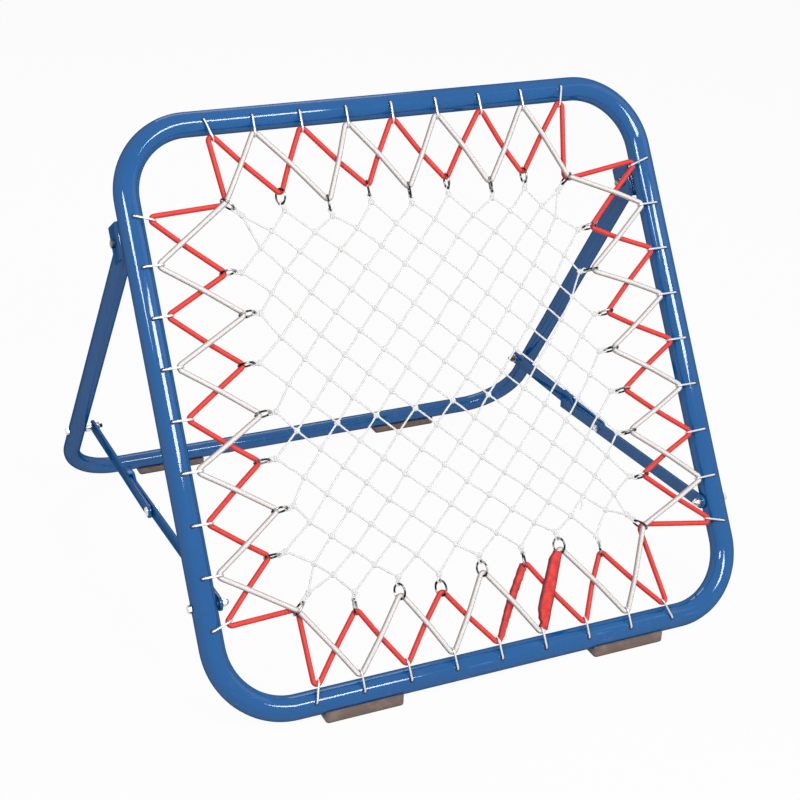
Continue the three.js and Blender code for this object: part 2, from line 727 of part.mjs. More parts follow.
function ringSolid(centre, outward, along, turn) {
  const across = towardsFront.clone().applyAxisAngle(outward, turn);
  const facing = along.clone().applyAxisAngle(outward, turn);
  const cornerReach = ringRadius / Math.cos(Math.PI / ringSteps);
  const line = [];
  for (let corner = 0; corner < ringSteps; corner += 1) {
    const angle = (2 * Math.PI * (corner + 1 / 2)) / ringSteps;
    const point = centre.clone().addScaledVector(outward, cornerReach * Math.cos(angle));
    line.push(point.addScaledVector(across, cornerReach * Math.sin(angle)));
  }
  return sweep(roundSection(ringWire, ringWire, wireSides), line, facing, true);
}

function sideRing(quarter, index) {
  const centre = onSide(quarter, ringAlong(quarter, index), ringOut(quarter, index), netLevel);
  const turn = ringTurnShares[quarter][index - 1] * ringTurnMost;
  return ringSolid(centre, onSide(quarter, 0, 1, 0), onSide(quarter, 1, 0, 0), turn);
}

const cornerNames = ['top_left', 'top_right', 'bottom_right', 'bottom_left'];
cornerNames.forEach((corner, quarter) => {
  const centre = cornerPlace(quarter, 0, netLevel);
  const outward = onSide(quarter, -Math.SQRT1_2, Math.SQRT1_2, 0);
  const along = onSide(quarter, Math.SQRT1_2, Math.SQRT1_2, 0);
  addPiece(frame, `${corner}_corner_ring`, ringSolid(centre, outward, along, 0), darkSteel);
});

// Elastic cords: each one closed loop that goes to and fro between hooks and rings, all the way round.
// It bends round the wire of each, pressed a little into it, and so is one solid with its hooks and rings.
const cornerSplit = cordRadius + touchGap;
const cornerWrap = cordRadius + ringWireRadius + cornerRingRoom;

function hookBend(quarter, hook) {
  const along = (hook - hookMiddle) * hookPitch + hookLean(hook);
  const centre = onSide(quarter, along, cordHookLine - hookBearing, 0);
  return { centre, radius: hookBearing, turn: 1, level: cordHookLevel };
}

function ringBend(quarter, index) {
  const centre = onSide(quarter, ringAlong(quarter, index), ringOut(quarter, index) + ringRadius, 0);
  return { centre, radius: ringBearing, turn: -1, level: netLevel };
}

function cornerBend(quarter, lift) {
  const centre = cornerPlace(quarter, ringRadius, 0);
  return { centre, radius: cornerWrap, turn: -1, level: netLevel + lift * cornerSplit };
}

function cordBends(firstHook, lift) {
  const bends = [];
  for (let quarter = 0; quarter < 4; quarter += 1) {
    bends.push(cornerBend(quarter, lift));
    for (let hook = firstHook; hook <= hookCount; hook += 2) {
      bends.push(hookBend(quarter, hook));
      if (hook + 2 <= hookCount) bends.push(ringBend(quarter, hook));
    }
  }
  return bends;
}

// The straight run between two bends touches both of their circles
function straightRun(from, to) {
  const line = to.centre.clone().sub(from.centre);
  const distance = line.length();
  const ahead = line.divideScalar(distance);
  const right = new THREE.Vector3(ahead.y, -ahead.x, 0);
  const sine = (to.turn * to.radius - from.turn * from.radius) / distance;
  const cosine = Math.sqrt(1 - sine ** 2);
  const side = right.multiplyScalar(cosine).addScaledVector(ahead, sine);
  const start = from.centre.clone().addScaledVector(side, -from.turn * from.radius).setZ(from.level);
  const end = to.centre.clone().addScaledVector(side, -to.turn * to.radius).setZ(to.level);
  return { start, end };
}

function crossingShare(run, other) {
  const ahead = run.end.clone().sub(run.start);
  const across = other.end.clone().sub(other.start);
  const apart = other.start.clone().sub(run.start);
  const area = ahead.x * across.y - ahead.y * across.x;
  const share = (apart.x * across.y - apart.y * across.x) / area;
  const otherShare = (apart.x * ahead.y - apart.y * ahead.x) / area;
  const inside = share > 0 && share < 1 && otherShare > 0 && otherShare < 1;
  return inside ? share : null;
}

function cordRuns(bends) {
  return bends.map((bend, index) => straightRun(bend, bends[(index + 1) % bends.length]));
}

const redBends = cordBends(1, -1);
const whiteBends = cordBends(2, 1);
const redRuns = cordRuns(redBends);
const whiteRuns = cordRuns(whiteBends);

function runPoints(run, others, lift) {
  const points = [run.start];
  for (const other of others) {
    const share = crossingShare(run, other);
    if (share !== null) {
      const crossing = run.start.clone().lerp(run.end, share);
      crossing.z += lift * cordCrossLift;
      points.push(crossing);
    }
  }
  points.push(run.end);
  return points;
}

// A bend is two corners, with a short flat between them that touches its circle
function bendCorners(bend, arriving, leaving) {
  const inWay = arriving.end.clone().sub(arriving.start).setZ(0).normalize();
  const outWay = leaving.end.clone().sub(leaving.start).setZ(0).normalize();
  const reach = bend.radius * Math.tan(inWay.angleTo(outWay) / 4);
  return [
    arriving.end.clone().addScaledVector(inWay, reach),
    leaving.start.clone().addScaledVector(outWay, -reach),
  ];
}

function cordLine(bends, runs, others, lift) {
  const points = [];
  for (let index = 0; index < bends.length; index += 1) {
    const arriving = runs[(index + bends.length - 1) % bends.length];
    points.push(...bendCorners(bends[index], arriving, runs[index]));
    points.push(...runPoints(runs[index], others, lift).slice(1, -1));
  }
  return points.reverse();
}

function cordSolid(line, firstHook) {
  const solids = [sweep(roundSection(cordDiameter, cordDiameter, cordSides), line, towardsFront, true)];
  for (let quarter = 0; quarter < 4; quarter += 1) {
    for (let hook = firstHook; hook <= hookCount; hook += 2) {
      solids.push(hookSolid(quarter, hook));
      if (hook + 2 <= hookCount) solids.push(sideRing(quarter, hook));
    }
  }
  return joinAll(solids);
}

const redCord = cordSolid(cordLine(redBends, redRuns, whiteRuns, -1), 1);
addPiece(frame, 'red_cord_with_hooks_and_rings', redCord, redElastic);
const whiteCord = cordSolid(cordLine(whiteBends, whiteRuns, redRuns, 1), 2);
addPiece(frame, 'white_cord_with_hooks_and_rings', whiteCord, whiteElastic);

// Two red sleeves over the places where the cords' ends are joined, each on the run up to a bottom hook
function sleeve(bends, runs, others, lift, hook, width, margin) {
  const bend = hookBend(2, hook);
  const index = bends.findIndex((candidate) => candidate.centre.distanceTo(bend.centre) < touchGap) - 1;
  const points = runPoints(runs[index], others, lift);
  const last = points.length - 1;
  const startWay = points[1].clone().sub(points[0]).normalize();
  const endWay = points[last].clone().sub(points[last - 1]).normalize();
  points[0] = points[0].clone().addScaledVector(startWay, margin);
  points[last] = points[last].clone().addScaledVector(endWay, -margin);
  const bore = (cordDiameter + 2 * touchGap) / Math.cos(Math.PI / cordSides);
  const height = bore + 2 * sleeveGauge;
  return sweep(ringSection(width, height, bore, cordSides), points.reverse(), towardsFront);
}

const redSleeve = sleeve(redBends, redRuns, whiteRuns, -1, hookMiddle, redSleeveWidth, redSleeveMargin);
addPiece(frame, 'red_cord_sleeve', redSleeve, redTape);
const whiteHook = hookMiddle - 1;
const whiteSleeve = sleeve(whiteBends, whiteRuns, redRuns, 1, whiteHook, whiteSleeveWidth, whiteSleeveMargin);
addPiece(frame, 'white_cord_sleeve', whiteSleeve, redTape);

// Net: a flat lattice of knotted twine set as diamonds.
// Every knot has a front point, a back point and four points between its strands,
// and every strand is four faces from one knot's mouth to the next one's.
const netMiddle = netUnits / 2;
const netVertices = [];
const netFaces = [];

function netVertex(point) {
  netVertices.push(point.x, point.y, point.z);
  return netVertices.length / 3 - 1;
}

function netKnotAt(place, firstDirection, longReach = 0, longPoint = null) {
  const knot = { place, front: 0, back: 0, between: [] };
  knot.front = netVertex(place.clone().setZ(netLevel + netThickness / 2));
  knot.back = netVertex(place.clone().setZ(netLevel - netThickness / 2));
  for (let point = 0; point < 4; point += 1) {
    const angle = firstDirection - point * Math.PI / 2;
    const offset = new THREE.Vector3(Math.cos(angle), Math.sin(angle), 0).multiplyScalar(netKnot / 2);
    const isLong = longPoint !== null && point === longReach;
    knot.between.push(netVertex(isLong ? longPoint : place.clone().add(offset)));
  }
  return knot;
}

function knotMouth(knot, quadrant) {
  return [knot.front, knot.between[quadrant], knot.back, knot.between[(quadrant + 1) % 4]];
}

function netStrand(from, fromQuadrant, to, toQuadrant) {
  const start = knotMouth(from, fromQuadrant);
  const [front, right, back, left] = knotMouth(to, toQuadrant);
  const end = [front, left, back, right];
  for (let face = 0; face < 4; face += 1) {
    const next = (face + 1) % 4;
    netFaces.push(start[face], end[face], end[next], start[face], end[next], start[next]);
  }
}

function closeMouth(knot, quadrant) {
  const [front, left, back, right] = knotMouth(knot, quadrant);
  netFaces.push(left, front, right, left, right, back);
}

// The knots start as an even lattice, and the outermost ones, its tips, are drawn to the rings
const steps = [[1, -1], [1, 1], [-1, 1], [-1, -1]];
const places = new Map();
for (let row = 1; row < netUnits; row += 1) {
  for (let column = 1; column < netUnits; column += 1) {
    const across = (column - netMiddle) * netPitch;
    const up = (netMiddle - row) * netPitch;
    if ((column + row) % 2 === 1) places.set(`${column},${row}`, new THREE.Vector3(across, up, netLevel));
  }
}
const innerKeys = [...places.keys()];

function tipKey(quarter, index) {
  const near = 2 * index + 1;
  const far = netUnits - near;
  return [`${near},0`, `${netUnits},${near}`, `${far},${netUnits}`, `0,${far}`][quarter];
}

for (let quarter = 0; quarter < 4; quarter += 1) {
  for (let index = 1; index <= ringsPerSide; index += 1) {
    const along = (index - ringMiddle) * netTipPitch + ringShift(quarter, index);
    const out = ringOut(quarter, index) - netTipReach;
    places.set(tipKey(quarter, index), onSide(quarter, along, out, netLevel));
  }
}
const cornerPairs = [
  ['2,1', '1,2'],
  [`${netUnits - 1},2`, `${netUnits - 2},1`],
  [`${netUnits - 2},${netUnits - 1}`, `${netUnits - 1},${netUnits - 2}`],
  [`1,${netUnits - 2}`, `2,${netUnits - 1}`],
];
const cornerPlaces = cornerPairs.map((pair, quarter) => cornerPlace(quarter, -netCornerReach, netLevel));

// Every other knot settles midway among those that it is tied to
function tiedTo(key) {
  const [column, row] = key.split(',').map(Number);
  const near = steps.map(([right, down]) => places.get(`${column + right},${row + down}`));
  const corner = cornerPairs.findIndex((pair) => pair.includes(key));
  return [...near, cornerPlaces[corner]].filter(Boolean);
}

for (let pass = 0; pass < netSettlePasses; pass += 1) {
  for (const key of innerKeys) {
    const near = tiedTo(key);
    const sum = near.reduce((total, place) => total.add(place), new THREE.Vector3());
    places.get(key).copy(sum.divideScalar(near.length));
  }
}

function tipKnot(quarter, index) {
  const reach = ringOut(quarter, index) - ringRadius - ringWireRadius - touchGap;
  const point = onSide(quarter, ringAlong(quarter, index), reach, netLevel);
  return netKnotAt(places.get(tipKey(quarter, index)), Math.PI / 2, quarter, point);
}

const knots = new Map(innerKeys.map((key) => [key, netKnotAt(places.get(key), Math.PI / 2)]));
for (let quarter = 0; quarter < 4; quarter += 1) {
  for (let index = 1; index <= ringsPerSide; index += 1) {
    knots.set(tipKey(quarter, index), tipKnot(quarter, index));
  }
}

function isAtCorner(column, row) {
  const across = Math.abs(column - netMiddle);
  const up = Math.abs(row - netMiddle);
  return Math.max(across, up) === netMiddle && across + up === netUnits - 1;
}

for (const [key, knot] of knots) {
  const [column, row] = key.split(',').map(Number);
  steps.forEach(([right, down], quadrant) => {
    const next = knots.get(`${column + right},${row + down}`);
    if (next && quadrant < 2) netStrand(knot, quadrant, next, quadrant + 2);
    if (!next && !isAtCorner(column + right, row + down)) closeMouth(knot, quadrant);
  });
}

// Each corner has one knot in place of two, and it reaches for the corner ring
cornerPairs.forEach(([first, second], quarter) => {
  const point = cornerPlace(quarter, -(ringRadius + ringWireRadius + touchGap), netLevel);
  const knot = netKnotAt(cornerPlaces[quarter], 3 * Math.PI / 4 - quarter * Math.PI / 2, 0, point);
  netStrand(knot, 1, knots.get(first), (3 + quarter) % 4);
  netStrand(knot, 2, knots.get(second), (3 + quarter) % 4);
  closeMouth(knot, 0);
  closeMouth(knot, 3);
});

const netGeometry = new THREE.BufferGeometry();
netGeometry.setAttribute('position', new THREE.BufferAttribute(new Float32Array(netVertices), 3));
netGeometry.setIndex(netFaces);
addPiece(frame, 'net', netGeometry, whiteTwine);

export default object;
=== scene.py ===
import json
import random
from math import atan2, ceil, copysign, cos, pi, radians, sin, sqrt, tau

import bmesh
import bpy
from mathutils import Matrix, Vector


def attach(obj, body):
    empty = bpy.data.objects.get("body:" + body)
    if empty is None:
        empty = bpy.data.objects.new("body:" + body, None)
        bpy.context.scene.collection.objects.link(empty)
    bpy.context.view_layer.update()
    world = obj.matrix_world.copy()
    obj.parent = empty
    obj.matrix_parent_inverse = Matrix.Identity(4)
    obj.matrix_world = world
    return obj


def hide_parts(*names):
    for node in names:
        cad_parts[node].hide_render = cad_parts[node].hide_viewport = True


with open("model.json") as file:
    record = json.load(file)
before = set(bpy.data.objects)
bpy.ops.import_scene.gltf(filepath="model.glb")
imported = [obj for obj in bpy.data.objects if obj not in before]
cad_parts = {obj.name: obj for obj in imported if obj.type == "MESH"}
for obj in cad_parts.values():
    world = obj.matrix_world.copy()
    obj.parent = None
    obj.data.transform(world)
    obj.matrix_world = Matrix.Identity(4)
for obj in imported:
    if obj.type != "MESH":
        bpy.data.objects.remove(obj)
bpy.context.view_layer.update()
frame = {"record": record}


# Front frame: one 42 mm steel tube, bent to a square with rounded corners and welded shut.
# It leans back on the ground at 57.5 degrees. Powder coated in gloss blue, which shows a faint orange peel,
# fine scratches near the ground and a little dust.
half_square = 0.480
tube_radius = 0.021
corner_bend = 0.118
lean = radians(57.5)
square_middle = Vector((0, -0.191310, 0.437128))
lean_back = Matrix.Translation(square_middle) @ Matrix.Rotation(lean, 4, "X")
body_with = {node: body for body, nodes in frame["record"]["behaviour"]["bodies"].items() for node in nodes}


class Wire:
    """A value inside a finish. Sums and products of it are worked out by the shader."""

    def __init__(self, finish, node, output):
        self.finish = finish
        self.node = node
        self.socket = node.outputs[output] if node.outputs else None

    def part(self, output):
        return Wire(self.finish, self.node, output)

    def work(self, operation, *values):
        return self.finish.add("Math", dict(enumerate(values)), operation=operation)

    def __add__(self, other):
        return self.work("ADD", self, other)

    def __sub__(self, other):
        return self.work("SUBTRACT", self, other)

    def __rsub__(self, other):
        return self.work("SUBTRACT", other, self)

    def __mul__(self, other):
        return self.work("MULTIPLY", self, other)

    def __pow__(self, other):
        return self.work("POWER", self, other)

    __radd__ = __add__
    __rmul__ = __mul__

    def sine(self):
        return self.work("SINE", self)

    def ramp(self, low, high):
        """0 below low and 1 above high, with an even rise between them."""
        sockets = {"Value": self, "From Min": low, "From Max": high}
        return self.finish.add("MapRange", sockets, clamp=True)


class Finish:
    """A finish of the frame, or the look of the room round it, built up from its textures to its surface."""

    def __init__(self, name, kind="materials"):
        self.made = getattr(bpy.data, kind).new(name)
        self.made.use_nodes = True
        self.tree = self.made.node_tree
        self.tree.nodes.clear()

    def add(self, kind, sockets=None, output=0, **settings):
        node = self.tree.nodes.new("ShaderNode" + kind)
        for name, value in settings.items():
            setattr(node, name, value)
        for name, value in (sockets or {}).items():
            if isinstance(value, Wire):
                self.tree.links.new(value.socket, node.inputs[name])
            else:
                node.inputs[name].default_value = value
        return Wire(self, node, output)

    def place(self, stretch=(1, 1, 1)):
        """The place on the piece, in metres, stretched along each way."""
        spot = self.add("TexCoord", output="Object")
        return self.add("Mapping", {"Vector": spot, "Scale": stretch})

    def height(self):
        return self.add("SeparateXYZ", {0: self.place()}).part(2)

    def along_piece(self):
        """The place on a cord's own map: its length in metres, and the way round it from 0 to 1."""
        return self.add("SeparateXYZ", {0: self.add("TexCoord", output="UV")})

    def turned_forwards(self):
        """1 on the front and the back of a cord, and 0 on its sides."""
        return (self.along_piece().part(1) * tau).sine() ** 2

    def winding(self, along, around):
        """A wave that comes so many times in each metre of a cord and so many times round it."""
        spot = self.along_piece()
        return ((spot.part(0) * along + spot.part(1) * around) * tau).sine()

    def noise(self, scale, detail=3.0, vector=None):
        vector = vector or self.place()
        return self.add("TexNoise", {"Vector": vector, "Scale": scale, "Detail": detail})

    def mix(self, factor, first, second):
        """From the first colour to the second. A plain colour has parts from 0 to 255, as the eye reads it."""
        first, second = (value if isinstance(value, Wire) else colour(*value) for value in (first, second))
        return self.add("Mix", {0: factor, 6: first, 7: second}, 2, data_type="RGBA")

    def bump(self, height, distance, strength=1.0):
        sockets = {"Height": height, "Distance": distance, "Strength": strength}
        return self.add("Bump", sockets, output="Normal")

    def surface(self, base, roughness, relief, others=None):
        sockets = {"Base Color": base, "Roughness": roughness, "Normal": relief, **(others or {})}
        self.add("OutputMaterial", {"Surface": self.add("BsdfPrincipled", sockets)})
        return self.made


def colour(red, green, blue):
    """From a colour's parts as the eye reads them to the shader's."""
    parts = [value / 255 for value in (red, green, blue)]
    return (*[part / 12.92 if part <= 0.04045 else ((part + 0.055) / 1.055) ** 2.4 for part in parts], 1.0)


def shade_blue_paint():
    paint = Finish("blue_paint")
    height = paint.height()
    cloud = paint.noise(5.0)
    peel = paint.noise(520.0, 1.0)
    grime = paint.noise(46.0, 6.0)
    scratch = paint.noise(30.0, 4.0, paint.place((0.6, 9.0, 9.0)))
    near_ground = 1 - height.ramp(0.02, 0.12)
    scuffed = scratch.ramp(0.64, 0.70) * (near_ground * 0.40 + 0.05)
    dusty = grime.ramp(0.60, 0.78) * (near_ground * 0.25 + 0.03)
    base = paint.mix(cloud, (1, 80, 140), (4, 91, 155))
    base = paint.mix(scuffed, base, (84, 128, 184))
    base = paint.mix(dusty, base, (96, 118, 142))
    roughness = cloud * 0.08 + scuffed * 0.30 + dusty * 0.30 + 0.24
    relief = peel * 0.5 + scuffed * -0.5 + grime * 0.12
    turned_away = paint.add("LayerWeight", {"Blend": 0.5}, output="Facing")
    gloss = (1 - turned_away.ramp(0.30, 0.75)) * 0.80 + 0.04
    return paint.surface(base, roughness, paint.bump(relief, 0.00010, 0.5), {
        "Specular IOR Level": 0.0,
        "Coat Weight": gloss,
        "Coat Roughness": 0.05,
    })


blue_paint = shade_blue_paint()


def take_up(piece):
    bpy.ops.object.select_all(action="DESELECT")
    piece.select_set(True)
    bpy.context.view_layer.objects.active = piece


def start_edit():
    bpy.ops.object.mode_set(mode="EDIT")


def end_edit():
    bpy.ops.object.mode_set(mode="OBJECT")


def pick_all():
    bpy.ops.mesh.select_all(action="SELECT")


def bevel(size, segments, affect="EDGES"):
    bpy.ops.mesh.bevel(offset=size, offset_type="OFFSET", segments=segments, affect=affect)


def extrude(way):
    bpy.ops.mesh.extrude_region_move(TRANSFORM_OT_translate={"value": way})


def pick(kind, wanted):
    """Selects what is wanted of the piece in edit mode: its verts, edges or faces."""
    mesh = bmesh.from_edit_mesh(bpy.context.edit_object.data)
    bpy.ops.mesh.select_mode(type=kind[:-1].upper())
    for item in [*mesh.verts, *mesh.edges, *mesh.faces]:
        item.select = False
    for item in getattr(mesh, kind):
        if wanted(item):
            item.select_set(True)
    bmesh.update_edit_mesh(bpy.context.edit_object.data)


def middle(item):
    return sum((vert.co for vert in item.verts), Vector()) / len(item.verts)


def runs_along(edge, axis):
    way = (edge.verts[1].co - edge.verts[0].co).normalized()
    return abs(way[axis]) > 0.99


def settled(scale=(1, 1, 1)):
    """The piece in hand, with its place, turn and scale taken into its shape."""
    bpy.context.object.scale = scale
    bpy.ops.object.transform_apply()
    return bpy.context.object


def draw_out_tube(radius, resolution):
    """Turns the line of edges in hand into a round tube."""
    bpy.ops.object.convert(target="CURVE")
    line = bpy.context.object.data
    line.bevel_depth = radius
    line.bevel_resolution = resolution
    bpy.ops.object.convert(target="MESH")
    tube = bpy.context.object
    turn_faces_out(tube)
    return tube


def modify(piece, kind, **settings):
    """Changes the piece by a modifier with these settings."""
    modifier = piece.modifiers.new(kind, kind)
    for name, value in settings.items():
        setattr(modifier, name, value)
    take_up(piece)
    bpy.ops.object.modifier_apply(modifier=modifier.name)


def round_edges(piece, size, angle=50):
    modify(piece, "BEVEL", width=size, segments=2, limit_method="ANGLE", angle_limit=radians(angle))


def smooth(piece, angle=35):
    take_up(piece)
    bpy.ops.object.shade_smooth_by_angle(angle=radians(angle))


def turn_faces_out(piece):
    take_up(piece)
    start_edit()
    pick_all()
    bpy.ops.mesh.remove_doubles(threshold=0.000002)
    bpy.ops.mesh.normals_make_consistent(inside=False)
    end_edit()


def fit(piece, name, finish, *nodes, slot=None):
    """Gives the piece its name and finish, and sets it on the body that carries the nodes it stands for.
    The slot argument is not used."""
    piece.name = name
    piece.data.name = name
    piece.data.materials.clear()
    piece.data.materials.append(finish)
    slot = slot or finish.name.partition(".")[0]
    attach(piece, body_with[nodes[0]])
    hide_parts(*nodes)


bpy.ops.mesh.primitive_plane_add(size=2 * half_square)
start_edit()
pick_all()
bevel(corner_bend, 24, "VERTICES")
bpy.ops.mesh.delete(type="ONLY_FACE")
end_edit()
front_tube = draw_out_tube(tube_radius, 14)
smooth(front_tube, 60)
front_tube.data.transform(lean_back)
fit(front_tube, "front_tube", blue_paint, "front_frame_tube")


# Rear frame: one 32 mm steel tube bent to a U. Its legs spread a little towards the ground, and their ends
# are left open where they turn in the hinges. The same blue coat.
leg_radius = 0.016
leg_length = 0.780
leg_past_hinge = 0.015
leg_spread = 0.018
leg_bend = 0.1064
leg_wall = 0.002
leg_turn = radians(124.42334)
hinge = Vector((0, 0.015278, 0.670709))
legs_down = Matrix.Translation(hinge) @ Matrix.Rotation(leg_turn, 4, "X")

bpy.ops.mesh.primitive_plane_add(size=1, location=(0, (leg_past_hinge - leg_length) / 2, 0))
settled((2 * half_square, leg_length + leg_past_hinge, 1))
start_edit()
pick("verts", lambda vert: vert.co.y < -0.5)
spread = (half_square + leg_spread) / half_square
bpy.ops.transform.resize(value=(spread, 1, 1), center_override=(0, 0, 0))
bevel(leg_bend, 20, "VERTICES")
bpy.ops.mesh.delete(type="ONLY_FACE")
pick("edges", lambda edge: middle(edge).y > 0 and runs_along(edge, 0))
bpy.ops.mesh.delete(type="EDGE")
end_edit()
rear_tube = draw_out_tube(leg_radius, 12)
modify(rear_tube, "SOLIDIFY", thickness=leg_wall, offset=-1)
smooth(rear_tube, 60)
rear_tube.data.transform(legs_down)
fit(rear_tube, "rear_tube", blue_paint, "rear_frame_tube")


# Hinge brackets: two channels of bent 3 mm sheet, each welded to the back of a side tube by a bead down
# either side. The leg's end turns between the cheeks. Coated with the frame.
bracket_front = -0.0213
bracket_back = -0.067732
bracket_up_frame = 0.308
bracket_width = 0.042
bracket_height = 0.062
bracket_gauge = 0.003
weld_out = 0.0132


def add_block(size, place):
    bpy.ops.mesh.primitive_cube_add(size=1, location=place)
    return settled(size)


def copy_of(piece, matrix):
    other = piece.copy()
    other.data = piece.data.copy()
    bpy.context.scene.collection.objects.link(other)
    other.data.transform(matrix)
    return other


def fit_both(piece, name, finish, node=None):
    """Fits a piece on the right and its mirror image on the left, for the node of the same name or another."""
    other = copy_of(piece, Matrix.Scale(-1, 4, (1, 0, 0)))
    other.data.flip_normals()
    fit(piece, "right_" + name, finish, "right_" + (node or name))
    fit(other, "left_" + name, finish, "left_" + (node or name))


bracket_middle = (bracket_front + bracket_back) / 2
bracket_size = (bracket_width, bracket_height, bracket_front - bracket_back)
bracket = add_block(bracket_size, (half_square, bracket_up_frame, bracket_middle))
start_edit()
pick("faces", lambda face: face.normal.z < -0.5 or abs(face.normal.y) > 0.5)
bpy.ops.mesh.delete(type="FACE")
pick("edges", lambda edge: runs_along(edge, 1) and middle(edge).z > bracket_middle)
bevel(0.006, 6)
end_edit()
modify(bracket, "SOLIDIFY", thickness=bracket_gauge, offset=-1)
round_edges(bracket, 0.0005)
smooth(bracket)
bracket.data.transform(lean_back)
fit_both(bracket, "hinge_bracket", blue_paint)


def ripple_rod(start, step, sizes, sides):
    """A rod along X, one disc drawn out again and again to the given radii."""
    bpy.ops.mesh.primitive_circle_add(vertices=sides, radius=sizes[0], fill_type="NGON",
                                      location=(start, 0, 0), rotation=(0, pi / 2, 0))
    rod = settled()
    start_edit()
    pick_all()
    for number in range(1, len(sizes)):
        extrude((step, 0, 0))
        share = sizes[number] / sizes[number - 1]
        centre = (start + number * step, 0, 0)
        bpy.ops.transform.resize(value=(1, share, share), center_override=centre)
    end_edit()
    turn_faces_out(rod)
    return rod


bead_sizes = [0.0012, *[0.0030, 0.0024] * 11, 0.0012]
for number, out in enumerate((half_square - weld_out, half_square + weld_out)):
    bead = ripple_rod(-0.0253, 0.0022, bead_sizes, 10)
    smooth(bead, 70)
    bead.data.transform(Matrix.Rotation(pi / 2, 4, "Z"))
    bead.data.transform(lean_back @ Matrix.Translation((out, bracket_up_frame, -0.0196)))
    fit_both(bead, f"bracket_weld_{number + 1}", blue_paint, "hinge_bracket")


# Fasteners: M8 hex bolts, nuts, washers and spacers, bright zinc plated, with some darker plain steel ones.
# A bolt at each pivot goes in from outside and holds the frame, stay or leg on its shank.
pivot_places = {
    "hinge": hinge,
    "front_pivot": Vector((0, -0.349008, 0.189593)),
    "knee": Vector((0, 0.002796, 0.172251)),
    "rear_pivot": Vector((0, 0.357851, 0.170830)),
}
bolt_radius = 0.004
washer_radius = 0.008
loose_hole = bolt_radius + 0.0003
hex_corner = 0.0075056
head_height = 0.0053
head_seat = 0.5013
outer_washer = (0.4572, 0.4587)
inner_washer = (0.4501, 0.4516)
outer_nut = (0.4504, 0.4569)
knee_nut = (0.4451, 0.4516)
outside_bars = 0.4643
spacer_ends = (outside_bars, 0.47768)
knee_head_ends = (outside_bars, 0.4675)
dome_ends = (0.4438, 0.4498)
dome_middle = 0.4442
dome_size = (0.0064, 0.0060, 0.0060)
rear_head_seat = 0.51029
bolt_end_ends = (0.4444, 0.4640)
hinge_tail, front_tail, knee_tail = 0.4479, 0.4422, 0.4426


def shade_zinc():
    zinc = Finish("zinc_steel")
    cloud = zinc.noise(120.0)
    grain = zinc.noise(1500.0, 2.0)
    base = zinc.mix(cloud, (196, 199, 204), (232, 231, 228))
    roughness = cloud * 0.22 + grain * 0.10 + 0.12
    return zinc.surface(base, roughness, zinc.bump(grain, 0.00003, 0.5), {"Metallic": 1.0})


def shade_dark_steel(name, dark, light):
    steel = Finish(name)
    cloud = steel.noise(180.0, 5.0)
    spots = steel.noise(420.0, 2.0)
    wear_and_reflection = steel.noise(95.0, 1.0)
    rust = cloud.ramp(0.62, 0.74)
    # These patches are wear on the bolts, and on the rings they are painted reflections.
    base = steel.mix(wear_and_reflection.ramp(0.48, 0.64), dark, light)
    base = steel.mix(rust * 0.3, base, (112, 84, 62))
    roughness = spots * 0.16 + rust * 0.25 + 0.24
    relief = steel.bump(spots, 0.00004, 0.6)
    return steel.surface(base, roughness, relief, {"Metallic": 1.0 - rust * 0.5})


zinc_steel = shade_zinc()
dark_steel = shade_dark_steel("dark_steel", (92, 91, 90), (136, 135, 133))
# The rings' near black and near white patches are painted reflections of a shiny metal.
ring_steel = shade_dark_steel("ring_steel", (38, 37, 38), (186, 185, 183))


def add_round(near, far, radius, sides=40):
    """A round blank along X."""
    bpy.ops.mesh.primitive_cylinder_add(vertices=sides, radius=radius, depth=far - near,
                                        location=((near + far) / 2, 0, 0), rotation=(0, pi / 2, 0))
    return settled()


def bevel_ends(ends, size, segments):
    """Rounds the rims of the blank in hand at the given distances."""
    start_edit()
    pick("edges", lambda edge: any(all(abs(vert.co.x - end) < 1e-6 for vert in edge.verts) for end in ends))
    bevel(size, segments)
    end_edit()


def carve(piece, tool, operation):
    """Cuts the tool out of the piece, joins it on, or keeps what they share."""
    modify(piece, "BOOLEAN", operation=operation, solver="EXACT", object=tool)
    bpy.data.objects.remove(tool)
    return piece


def add_hexagon(near, far, chamfered):
    """A hexagon whose corners are turned off at the chamfered ends."""
    turned = add_round(near, far, 0.0074, 48)
    bevel_ends(chamfered, 0.0010, 2)
    block = add_round(near, far, hex_corner, 6)
    return carve(block, turned, "INTERSECT")


def add_thread(near, far):
    """The end of a bolt, with the ridges of its thread."""
    pitch = 0.00125
    root = bolt_radius * 0.86
    count = max(2, round((far - near) / (pitch / 2)))
    sizes = [root, *[bolt_radius if number % 2 else root for number in range(1, count)], root]
    return ripple_rod(near, (far - near) / count, sizes, 20)


def add_shank(near, far, thread_length):
    shank = add_round(near + thread_length, far, bolt_radius, 24)
    return carve(shank, add_thread(near, near + thread_length + 0.0002), "UNION")


def drill(piece, near, far, radius):
    return carve(piece, add_round(near - 0.001, far + 0.001, radius, 24), "DIFFERENCE")


def fasten(piece, pivot, name, finish):
    """Sets a fastener on its pivot, on both sides of the frame."""
    smooth(piece, 30)
    piece.data.transform(Matrix.Translation(pivot_places[pivot]))
    fit_both(piece, f"{pivot}_{name}", finish)


def add_nut(near, far):
    return drill(add_hexagon(near, far, (near, far)), near, far, bolt_radius + 0.0001)


def add_washer(near, far):
    washer = drill(add_round(near, far, washer_radius), near, far, loose_hole)
    round_edges(washer, 0.0003)
    return washer


def add_hex_bolt(tail, head_near, thread_length):
    head = add_hexagon(head_near, head_near + head_height, (head_near + head_height,))
    return carve(head, add_shank(tail, head_near + 0.002, thread_length), "UNION")


fasten(add_hex_bolt(hinge_tail, head_seat, 0.010), "hinge", "bolt", dark_steel)
fasten(add_washer(*outer_washer), "hinge", "washer", zinc_steel)
fasten(add_nut(*outer_nut), "hinge", "nut", dark_steel)

